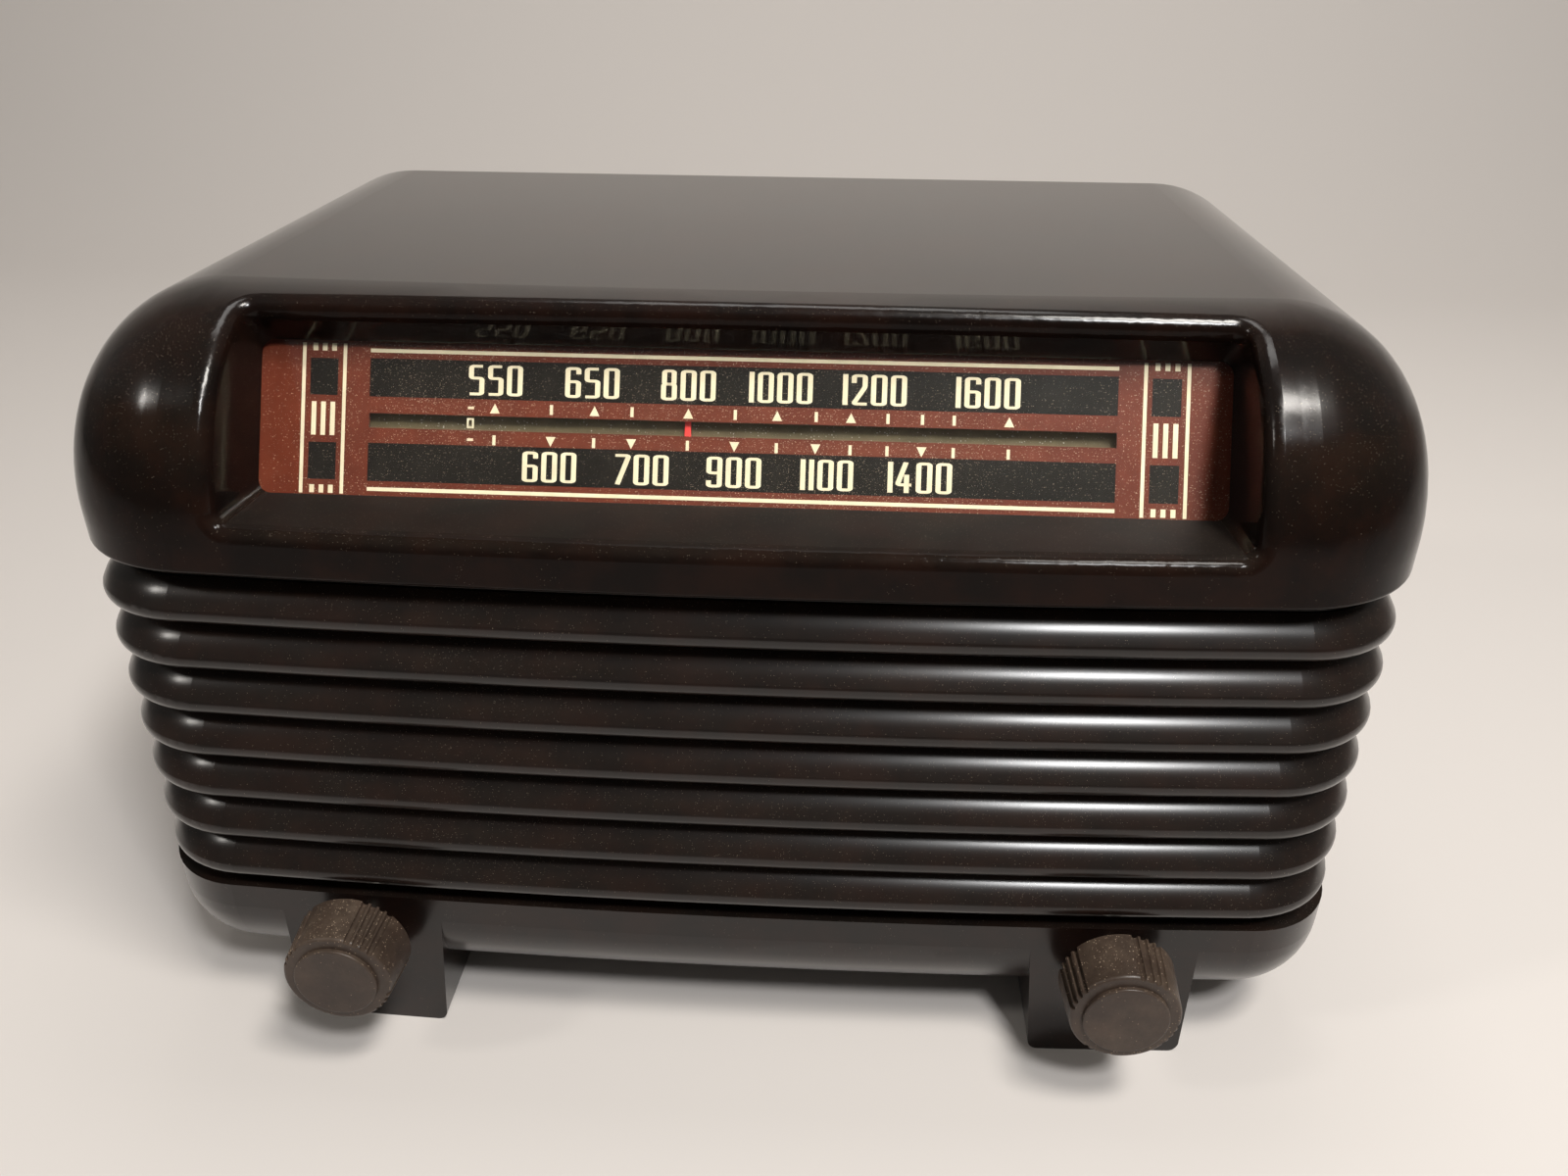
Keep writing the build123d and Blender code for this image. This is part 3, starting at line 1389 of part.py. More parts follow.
# Output transformer: a laminated core with a window, and its coil round the middle limb
core_x, core_place_depth = transformer_place
core_middle_z = chassis_deck_z + core_height / 2
with BuildPart() as transformer_core:
    with BuildSketch(upright(core_place_depth + core_depth / 2)):
        with Locations((core_x, core_middle_z)):
            Rectangle(core_width, core_height)
            Rectangle(core_window_width, core_window_height, mode=Mode.SUBTRACT)
            Rectangle(core_limb, core_height)
    extrude(amount=core_depth)
transformer_core.part.label = "transformer_core"
export_step(transformer_core.part, "parts/transformer_core.step")

with BuildPart() as transformer_coil:
    with BuildSketch(level(core_middle_z - core_window_height / 2 + coil_clearance)):
        with Locations((core_x, depth_y(core_place_depth))):
            RectangleRounded(core_window_width - 2 * coil_clearance, coil_depth, coil_edge_radius)
            Rectangle(core_limb + 2 * coil_clearance, core_depth + 2 * coil_clearance, mode=Mode.SUBTRACT)
    extrude(amount=core_window_height - 2 * coil_clearance)
transformer_coil.part.label = "transformer_coil"
export_step(transformer_coil.part, "parts/transformer_coil.step")

# Under the deck: oscillator coil, terminal strip and paper capacitors
with BuildPart() as oscillator_coil:
    with BuildSketch(level(deck_under_z - oscillator_length)):
        with Locations((oscillator_place[0], depth_y(oscillator_place[1]))):
            Circle(oscillator_radius)
            Circle(oscillator_bore, mode=Mode.SUBTRACT)
    extrude(amount=oscillator_length)
oscillator_coil.part.label = "oscillator_coil"
export_step(oscillator_coil.part, "parts/oscillator_coil.step")

with BuildPart() as terminal_strip:
    with BuildSketch(upright(strip_depth)):
        with Locations((0, deck_under_z - strip_height / 2)):
            Rectangle(strip_width, strip_height)
    extrude(amount=strip_thickness)
terminal_strip.part.label = "terminal_strip"
export_step(terminal_strip.part, "parts/terminal_strip.step")

with BuildPart() as paper_capacitors:
    with BuildSketch(upright(strip_depth + paper_capacitor_length)):
        with Locations((0, deck_under_z - paper_capacitor_drop)):
            with GridLocations(paper_capacitor_pitch, 1, paper_capacitor_count, 1):
                Circle(paper_capacitor_radius)
    extrude(amount=paper_capacitor_length)
paper_capacitors.part.label = "paper_capacitors"
export_step(paper_capacitors.part, "parts/paper_capacitors.step")

# Back cover inside the cabinet's rear opening, with vents, screws, loop aerial and grommet
with BuildPart() as back_cover:
    with BuildSketch(upright(cover_back)) as cover_outline:
        cap_inner_half = half_width - wall
        cap_inner_top = cabinet_height - wall
        cap_inner_low = cap_bottom_z + wall
        with Locations((0, (cap_inner_low + cap_inner_top) / 2)):
            Rectangle(2 * cap_inner_half, cap_inner_top - cap_inner_low)
        fillet(cover_outline.vertices().group_by(Axis.Y)[-1], cap_side_radius - wall)
        with Locations((0, (floor_z + ledge_z - wall) / 2)):
            Rectangle(2 * (base_half_width - wall), ledge_z - wall - floor_z)
        fillet(cover_outline.vertices().group_by(Axis.Y)[0], base_edge_radius - wall)
        with Locations((0, (ledge_z - wall + cap_inner_low) / 2)):
            Rectangle(2 * rib_inner_half, cap_inner_low - ledge_z + wall)
        offset(amount=-cover_clearance)
        with Locations((0, vent_z)):
            with GridLocations(vent_pitch_x, vent_pitch_z, vent_columns, vent_rows):
                SlotOverall(vent_width, vent_height, mode=Mode.SUBTRACT)
        with Locations((0, low_vent_z)):
            with GridLocations(vent_pitch_x, vent_pitch_z, vent_columns, 1):
                SlotOverall(vent_width, vent_height, mode=Mode.SUBTRACT)
        with Locations((0, post_middle_z)):
            with GridLocations(2 * post_middle_x, post_pitch_z, 2, 2):
                Circle(cover_screw_radius + shaft_clearance, mode=Mode.SUBTRACT)
        with Locations((grommet_x, grommet_z)):
            Circle(grommet_radius, mode=Mode.SUBTRACT)
    extrude(amount=cover_thickness)
back_cover.part.label = "back_cover"
export_step(back_cover.part, "parts/back_cover.step")

with BuildPart() as back_screws:
    with BuildSketch(upright(cover_back + screw_head_height)):
        with Locations((0, post_middle_z)):
            with GridLocations(2 * post_middle_x, post_pitch_z, 2, 2):
                Circle(screw_head_radius)
    extrude(amount=screw_head_height)
    fillet(back_screws.edges().group_by(Axis.Y)[-1], screw_dome)
    with BuildSketch(upright(cover_back)):
        with Locations((0, post_middle_z)):
            with GridLocations(2 * post_middle_x, post_pitch_z, 2, 2):
                Circle(cover_screw_radius)
    extrude(amount=cover_thickness + cover_screw_length)
    with BuildSketch(upright(cover_back + screw_head_height)):
        with Locations((0, post_middle_z)):
            with GridLocations(2 * post_middle_x, post_pitch_z, 2, 2):
                Rectangle(2 * screw_head_radius, driver_slot_width, rotation=driver_slot_turn)
    extrude(amount=driver_slot_depth, mode=Mode.SUBTRACT)
back_screws.part.label = "back_screws"
export_step(back_screws.part, "parts/back_screws.step")

with BuildPart() as loop_aerial:
    with BuildSketch(upright(cover_front)):
        with Locations((0, vent_z)):
            RectangleRounded(aerial_width, aerial_height, aerial_corner_radius)
            RectangleRounded(aerial_width - 2 * aerial_band, aerial_height - 2 * aerial_band,
                             aerial_corner_radius - aerial_band, mode=Mode.SUBTRACT)
    extrude(amount=aerial_thickness)
loop_aerial.part.label = "loop_aerial"
export_step(loop_aerial.part, "parts/loop_aerial.step")

with BuildPart() as lead_grommet:
    grommet_lip = grommet_radius + grommet_rim
    for back, front, radius in (
        (cover_back + grommet_rim, cover_back, grommet_lip),
        (cover_back, cover_front, grommet_radius - shaft_clearance),
        (cover_front, cover_front - grommet_rim, grommet_lip),
    ):
        with BuildSketch(upright(back)):
            with Locations((grommet_x, grommet_z)):
                Circle(radius)
                Circle(grommet_bore, mode=Mode.SUBTRACT)
        extrude(amount=back - front)
lead_grommet.part.label = "lead_grommet"
export_step(lead_grommet.part, "parts/lead_grommet.step")
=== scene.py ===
"""A moulded table radio of the 1940s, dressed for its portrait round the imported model.

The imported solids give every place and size. The phenolic case and its knobs, the works behind them
and the fibreboard back keep their solids and get their finishes here. The dial's glass, its printing, the
strip behind its pointer and the grille cloth are new pieces.
"""
from __future__ import annotations

import logging
import math
from dataclasses import dataclass, field
from enum import Enum

import bmesh
import bpy
from mathutils import Matrix, Vector

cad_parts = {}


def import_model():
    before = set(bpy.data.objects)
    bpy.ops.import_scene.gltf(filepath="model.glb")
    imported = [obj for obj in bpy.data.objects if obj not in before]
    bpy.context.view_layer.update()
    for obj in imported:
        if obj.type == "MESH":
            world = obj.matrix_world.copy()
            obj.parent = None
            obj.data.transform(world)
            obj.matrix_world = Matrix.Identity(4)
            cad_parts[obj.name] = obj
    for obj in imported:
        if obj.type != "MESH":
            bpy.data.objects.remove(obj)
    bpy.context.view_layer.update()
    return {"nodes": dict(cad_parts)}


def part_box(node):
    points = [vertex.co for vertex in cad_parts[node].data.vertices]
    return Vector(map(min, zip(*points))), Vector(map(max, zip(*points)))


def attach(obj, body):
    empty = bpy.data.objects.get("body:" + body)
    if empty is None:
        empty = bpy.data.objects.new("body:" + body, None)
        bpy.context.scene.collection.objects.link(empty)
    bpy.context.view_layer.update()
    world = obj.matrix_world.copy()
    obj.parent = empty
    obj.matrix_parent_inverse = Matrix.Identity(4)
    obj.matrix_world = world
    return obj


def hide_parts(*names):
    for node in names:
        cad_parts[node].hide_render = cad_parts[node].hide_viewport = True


LOG = logging.getLogger("table_radio")
MM = 0.001
SET_BODY = "set"
Colour = tuple[float, float, float]
Point = tuple[float, float, float]
Span = tuple[float, float]
Shape = bmesh.types.BMesh
Piece = bpy.types.Object
Material = bpy.types.Material
NodeTree = bpy.types.NodeTree
Socket = bpy.types.NodeSocket


class DialRow(Enum):
    """The two rows of numerals on the dial."""

    UPPER = "upper"
    LOWER = "lower"


class Ink(Enum):
    """The two inks laid on the dial's red ground."""

    CREAM = "cream"
    BLACK = "black"


class NodeBench:
    """Builds one node tree with short calls."""

    def __init__(self, tree: NodeTree) -> None:
        """Takes the tree to work on.

        Args:
            tree: The node tree of a material, a world or a group.
        """
        self.tree = tree

    def add(self, kind: str, **values: object) -> bpy.types.Node:
        """Adds a node and sets its properties.

        Args:
            kind: The node's type name.
            values: Properties of the node.

        Returns:
            The new node.
        """
        node = self.tree.nodes.new(kind)
        for name, value in values.items():
            setattr(node, name, value)
        return node

    def link(self, start: Socket, end: Socket) -> None:
        """Links two sockets."""
        self.tree.links.new(start, end)

    def feed(self, socket: Socket, value: object) -> None:
        """Links a socket to another, or sets its plain value.

        Args:
            socket: The input to feed.
            value: An output socket, or a value for the input.
        """
        if isinstance(value, Socket):
            self.link(value, socket)
        else:
            socket.default_value = value

    def fill(self, node: bpy.types.Node, **values: object) -> None:
        """Feeds several inputs of a node.

        Args:
            node: The node.
            values: Its inputs by name, with _ for a space.
        """
        for name, value in values.items():
            self.feed(node.inputs[name.replace("_", " ")], value)

    def place(self) -> Socket:
        """Object coordinates, which are metres in the set's frame."""
        return self.add("ShaderNodeTexCoord").outputs["Object"]

    def split(self, vector: Socket) -> dict[str, Socket]:
        """Splits a vector into its parts.

        Args:
            vector: The vector's socket.

        Returns:
            The sockets of X, Y and Z by those names.
        """
        node = self.add("ShaderNodeSeparateXYZ")
        self.fill(node, Vector=vector)
        return {socket.name: socket for socket in node.outputs}

    def rise(self) -> Socket:
        """How far the surface looks up: 1 for level, 0 for upright, -1 for face down."""
        return self.split(self.add("ShaderNodeNewGeometry").outputs["Normal"])["Z"]

    def noise(self, place: Socket, scale: object, detail: float, roughness: float) -> Socket:
        """Adds cloudy noise.

        Args:
            place: The coordinates to read.
            scale: Features to the metre.
            detail: Octaves.
            roughness: Weight of the fine octaves.

        Returns:
            The noise, about 0 to 1.
        """
        node = self.add("ShaderNodeTexNoise")
        self.fill(node, Vector=place, Scale=scale, Detail=detail, Roughness=roughness)
        return node.outputs["Fac"]

    def spread(self, value: Socket, low: object, high: object, out_low: object = 0.0,
               out_high: object = 1.0) -> Socket:
        """Maps a range smoothly onto another.

        Args:
            value: What is mapped.
            low: Start of the range.
            high: End of the range.
            out_low: Result at the start.
            out_high: Result at the end.

        Returns:
            The mapped value.
        """
        node = self.add("ShaderNodeMapRange", interpolation_type="SMOOTHSTEP")
        self.fill(node, Value=value, From_Min=low, From_Max=high, To_Min=out_low, To_Max=out_high)
        return node.outputs["Result"]

    def sum(self, operation: str, first: object, second: object = 0.0) -> Socket:
        """Works out a sum of one or two values.

        Args:
            operation: The Math node's operation.
            first: First value or socket.
            second: Second value or socket.

        Returns:
            The result.
        """
        node = self.add("ShaderNodeMath", operation=operation)
        self.feed(node.inputs[0], first)
        self.feed(node.inputs[1], second)
        return node.outputs[0]

    def blend(self, amount: object, first: object, second: object) -> Socket:
        """Mixes two colours.

        Args:
            amount: Share of the second colour.
            first: First colour or socket.
            second: Second colour or socket.

        Returns:
            The mixed colour.
        """
        node = self.add("ShaderNodeMix", data_type="RGBA")
        colours = [socket for socket in node.inputs if socket.type == "RGBA"]
        self.feed(node.inputs["Factor"], amount)
        for socket, colour in zip(colours, (first, second)):
            self.feed(socket, colour if isinstance(colour, Socket) else (*colour, 1.0))
        return next(socket for socket in node.outputs if socket.type == "RGBA")

    def bump(self, height: Socket, distance: float) -> Socket:
        """Turns a height into a normal.

        Args:
            height: The height, 0 to 1.
            distance: Metres that a height of 1 stands for.

        Returns:
            The bent normal.
        """
        node = self.add("ShaderNodeBump")
        self.fill(node, Distance=distance, Height=height)
        return node.outputs["Normal"]

    def group(self, tree: NodeTree, **values: object) -> bpy.types.Node:
        """Places a shared effect.

        Args:
            tree: The effect's node group.
            values: Its inputs by name, with _ for a space.

        Returns:
            The group node.
        """
        node = self.add("ShaderNodeGroup", node_tree=tree)
        self.fill(node, **values)
        return node


class SharedEffects:
    """The node groups that several finishes use."""

    def __init__(self) -> None:
        """Builds each group once."""
        self.dust = self._dust()
        self.mottle = self._mottle()
        self.grain = self._grain()
        self.age = self._age()

    @staticmethod
    def _group(name: str, inputs: dict[str, float],
               outputs: tuple[str, ...]) -> tuple[NodeBench, dict, dict]:
        """Starts a group of plain number sockets.

        Args:
            name: The group's name.
            inputs: Input names and their defaults.
            outputs: Output names.

        Returns:
            The bench, the group's inputs by name and its outputs by name.
        """
        tree = bpy.data.node_groups.new(name, "ShaderNodeTree")
        for label, value in inputs.items():
            socket = tree.interface.new_socket(label, in_out="INPUT", socket_type="NodeSocketFloat")
            socket.default_value = value
        for label in outputs:
            tree.interface.new_socket(label, in_out="OUTPUT", socket_type="NodeSocketFloat")
        bench = NodeBench(tree)
        entry = bench.add("NodeGroupInput")
        leave = bench.add("NodeGroupOutput")
        starts = {socket.name: socket for socket in entry.outputs if socket.name}
        ends = {socket.name: socket for socket in leave.inputs if socket.name}
        return bench, starts, ends

    def _dust(self) -> NodeTree:
        """Loose dust: fine specks that gather where the surface looks up, and a thin film.

        Returns:
            The group, with a Specks and a Film output.
        """
        inputs = {"Speck Scale": 1400.0, "Speck Size": 0.2, "Upward": 0.6, "Film": 0.3}
        bench, entry, leave = self._group("dust", inputs, ("Specks", "Film"))
        place = bench.place()
        cells = bench.add("ShaderNodeTexVoronoi", feature="F1")
        bench.fill(cells, Vector=place, Scale=entry["Speck Scale"])
        chance = bench.add("ShaderNodeSeparateColor")
        bench.fill(chance, Color=cells.outputs["Color"])
        level = bench.spread(bench.rise(), low=-0.1, high=0.9)
        least = bench.sum("SUBTRACT", 1.0, entry["Upward"])
        gather = bench.spread(level, low=0.0, high=1.0, out_low=least)
        clouds = bench.noise(place, scale=26.0, detail=3.0, roughness=0.6)
        patches = bench.spread(clouds, low=0.35, high=0.7, out_low=0.3)
        density = bench.sum("MULTIPLY", gather, patches)
        size = bench.sum("MULTIPLY", entry["Speck Size"], chance.outputs["Red"])
        dot = bench.sum("LESS_THAN", cells.outputs["Distance"], size)
        kept = bench.sum("LESS_THAN", chance.outputs["Green"], density)
        bench.link(bench.sum("MULTIPLY", dot, kept), leave["Specks"])
        veil = bench.noise(place, scale=420.0, detail=4.0, roughness=0.7)
        haze = bench.sum("MULTIPLY", veil, density)
        bench.link(bench.sum("MULTIPLY", haze, entry["Film"]), leave["Film"])
        return bench.tree

    def _mottle(self) -> NodeTree:
        """Cloudy change of tone in a moulded or painted surface.

        Returns:
            The group, with one Tone output from 0 to 1.
        """
        inputs = {"Scale": 60.0, "Low": 0.35, "High": 0.7}
        bench, entry, leave = self._group("mottle", inputs, ("Tone",))
        clouds = bench.noise(bench.place(), scale=entry["Scale"], detail=6.0, roughness=0.62)
        bench.link(bench.spread(clouds, entry["Low"], entry["High"]), leave["Tone"])
        return bench.tree

    def _grain(self) -> NodeTree:
        """Fine surface grain for bump and gloss.

        Returns:
            The group, with a Height and a Gloss output.
        """
        inputs = {"Scale": 900.0, "Wide Scale": 35.0}
        bench, entry, leave = self._group("grain", inputs, ("Height", "Gloss"))
        place = bench.place()
        fine = bench.noise(place, scale=entry["Scale"], detail=3.0, roughness=0.55)
        wide = bench.noise(place, scale=entry["Wide Scale"], detail=4.0, roughness=0.6)
        bench.link(fine, leave["Height"])
        bench.link(bench.sum("MULTIPLY", bench.sum("ADD", fine, wide), 0.5), leave["Gloss"])
        return bench.tree

    def _age(self) -> NodeTree:
        """How age shows on a moulding: where dust settles, and where its polish has lasted.

        Returns:
            The group, with a Ledge, a Dust, a Shelter, a Lower and a Crown output from 0 to 1.
        """
        inputs = {"Ledge Height": 0.15, "Lower Height": 0.117, "Fade": 0.004}
        bench, entry, leave = self._group("age", inputs, ("Ledge", "Dust", "Shelter", "Lower", "Crown"))
        place = bench.place()
        altitude = bench.split(place)["Z"]
        rise = bench.rise()
        bands = []
        for height in ("Ledge Height", "Lower Height"):
            fade_start = bench.sum("SUBTRACT", entry[height], entry["Fade"])
            bands.append(bench.spread(altitude, fade_start, entry[height], out_low=1.0, out_high=0.0))
        flat = bench.spread(rise, low=0.85, high=0.98)
        bench.link(bench.sum("MULTIPLY", flat, bands[0]), leave["Ledge"])
        clouds = bench.noise(place, scale=90.0, detail=5.0, roughness=0.65)
        patches = bench.spread(clouds, low=0.25, high=0.75, out_low=0.4)
        sloped = bench.sum("MULTIPLY", bench.spread(rise, low=0.1, high=0.7), bands[0])
        bench.link(bench.sum("MULTIPLY", sloped, patches), leave["Dust"])
        under = bench.spread(rise, low=-0.45, high=-0.15, out_low=1.0, out_high=0.0)
        bench.link(under, leave["Shelter"])
        bench.link(bands[1], leave["Lower"])
        rolled = bench.spread(rise, low=0.25, high=0.7)
        bench.link(bench.sum("MULTIPLY", rolled, bench.sum("SUBTRACT", 1.0, bands[0])), leave["Crown"])
        return bench.tree


def start_material(name: str, tone: Colour) -> tuple[Material, NodeBench, bpy.types.Node]:
    """Starts a node material.

    Args:
        name: The material's name.
        tone: The colour it shows without its nodes.

    Returns:
        The material, a bench for its nodes and its shader.
    """
    material = bpy.data.materials.new(name)
    material.use_nodes = True
    material.diffuse_color = (*tone, 1.0)
    return material, NodeBench(material.node_tree), material.node_tree.nodes["Principled BSDF"]


@dataclass(frozen=True)
class SurfaceFinish:
    """A finish of one base tone, a second tone in clouds, gloss that varies, grain and dust.

    With a ledge height it also shows age: dust on what is below it and looks up, a satin coat on the crown
    above it and on the lower wall, and polish on what looks down.
    """

    name: str
    tone: Colour
    second_tone: Colour
    tone_scale: float = 60.0
    rough: Span = (0.3, 0.5)
    gloss_range: Span = (0.3, 0.7)
    grain_scale: float = 900.0
    grain_depth: float = 0.0
    metallic: float = 0.0
    specular: float = 0.5
    dust_tone: Colour = (0.42, 0.38, 0.33)
    speck_scale: float = 1400.0
    speck_size: float = 0.0
    upward: float = 0.6
    film: float = 0.0
    dust_rough: float = 0.9
    ledge_height: float = 0.0
    ledge_rough: float = 0.5
    dust_film: float = 0.025
    shelter_rough: float = 0.04
    lower_rough: float = 0.3
    lower_coat: float = 0.8
    crown_coat: float = 0.7
    coat_rough: float = 0.21

    def make(self, effects: SharedEffects) -> Material:
        """Builds the material.

        Args:
            effects: The shared node groups.

        Returns:
            The material.
        """
        material, bench, shader = start_material(self.name, self.tone)
        mottle = bench.group(effects.mottle, Scale=self.tone_scale)
        colour = bench.blend(mottle.outputs["Tone"], self.tone, self.second_tone)
        grain = bench.group(effects.grain, Scale=self.grain_scale)
        rough = bench.spread(grain.outputs["Gloss"], *self.gloss_range, *self.rough)
        bench.fill(shader, Metallic=self.metallic, Specular_IOR_Level=self.specular)
        if self.ledge_height:
            age = bench.group(effects.age, Ledge_Height=self.ledge_height)
            worn = {"Shelter": self.shelter_rough, "Lower": self.lower_rough, "Ledge": self.ledge_rough}
            for mask, worn_rough in worn.items():
                rough = bench.spread(age.outputs[mask], 0.0, 1.0, rough, worn_rough)
            settled = bench.sum("MULTIPLY", age.outputs["Dust"], self.dust_film)
            colour = bench.blend(settled, colour, self.dust_tone)
            lower = bench.sum("MULTIPLY", age.outputs["Lower"], self.lower_coat)
            lower = bench.spread(age.outputs["Ledge"], 0.0, 1.0, lower, 0.0)
            crown = bench.sum("MULTIPLY", age.outputs["Crown"], self.crown_coat)
            bench.fill(shader, Coat_Weight=bench.sum("ADD", lower, crown), Coat_Roughness=self.coat_rough)
        if self.speck_size or self.film:
            dust = bench.group(effects.dust, Speck_Scale=self.speck_scale, Speck_Size=self.speck_size,
                               Upward=self.upward, Film=self.film)
            cover = bench.sum("MAXIMUM", dust.outputs["Specks"], dust.outputs["Film"])
            colour = bench.blend(cover, colour, self.dust_tone)
            rough = bench.spread(cover, 0.0, 1.0, rough, self.dust_rough)
        bench.fill(shader, Base_Color=colour, Roughness=rough)
        if self.grain_depth:
            bench.fill(shader, Normal=bench.bump(grain.outputs["Height"], self.grain_depth))
        return material


@dataclass(frozen=True)
class GlassFinish:
    """Clear glass that lets the lamps through to what is behind it."""

    name: str
    tint: Colour = (0.97, 0.98, 0.96)
    rough: float = 0.02
    ior: float = 1.5
    preview_alpha: float = 0.3

    def make(self, effects: SharedEffects) -> Material:
        """Builds the material.

        Args:
            effects: The shared node groups, which clear glass leaves alone.

        Returns:
            The material.
        """
        material, bench, shader = start_material(self.name, self.tint)
        material.diffuse_color[3] = self.preview_alpha
        tint = (*self.tint, 1.0)
        bench.fill(shader, Base_Color=tint, Roughness=self.rough, Transmission_Weight=1.0, IOR=self.ior)
        clear = bench.add("ShaderNodeBsdfTransparent")
        bench.fill(clear, Color=tint)
        mix = bench.add("ShaderNodeMixShader")
        bench.fill(mix, Fac=bench.add("ShaderNodeLightPath").outputs["Is Shadow Ray"])
        bench.link(shader.outputs["BSDF"], mix.inputs[1])
        bench.link(clear.outputs["BSDF"], mix.inputs[2])
        bench.fill(material.node_tree.nodes["Material Output"], Surface=mix.outputs["Shader"])
        return material


@dataclass(frozen=True)
class WovenFinish:
    """Plain-woven cloth in two yarn tones, on the cloth's own coordinates."""

    name: str
    warp: Colour
    weft: Colour
    threads_per_metre: float = 1300.0
    wear_scale: float = 700.0
    wear: float = 0.7
    rough: float = 0.85
    sheen: float = 0.2
    yarn_depth: float = 0.1 * MM

    def make(self, effects: SharedEffects) -> Material:
        """Builds the material.

        Args:
            effects: The shared node groups.

        Returns:
            The material.
        """
        material, bench, shader = start_material(self.name, self.warp)
        place = bench.split(bench.place())
        waves = []
        for axis in ("X", "Z"):
            turn = bench.sum("MULTIPLY", place[axis], self.threads_per_metre * math.pi)
            waves.append(bench.sum("SINE", turn))
        over = bench.sum("MULTIPLY", waves[0], waves[1])
        height = bench.spread(over, -1.0, 1.0)
        mottle = bench.group(effects.mottle, Scale=self.wear_scale)
        yarn = bench.blend(height, self.warp, self.weft)
        worn = bench.blend(mottle.outputs["Tone"], yarn, tuple(self.wear * tone for tone in self.warp))
        normal = bench.bump(height, self.yarn_depth)
        bench.fill(shader, Base_Color=worn, Roughness=self.rough, Sheen_Weight=self.sheen, Normal=normal)
        return material


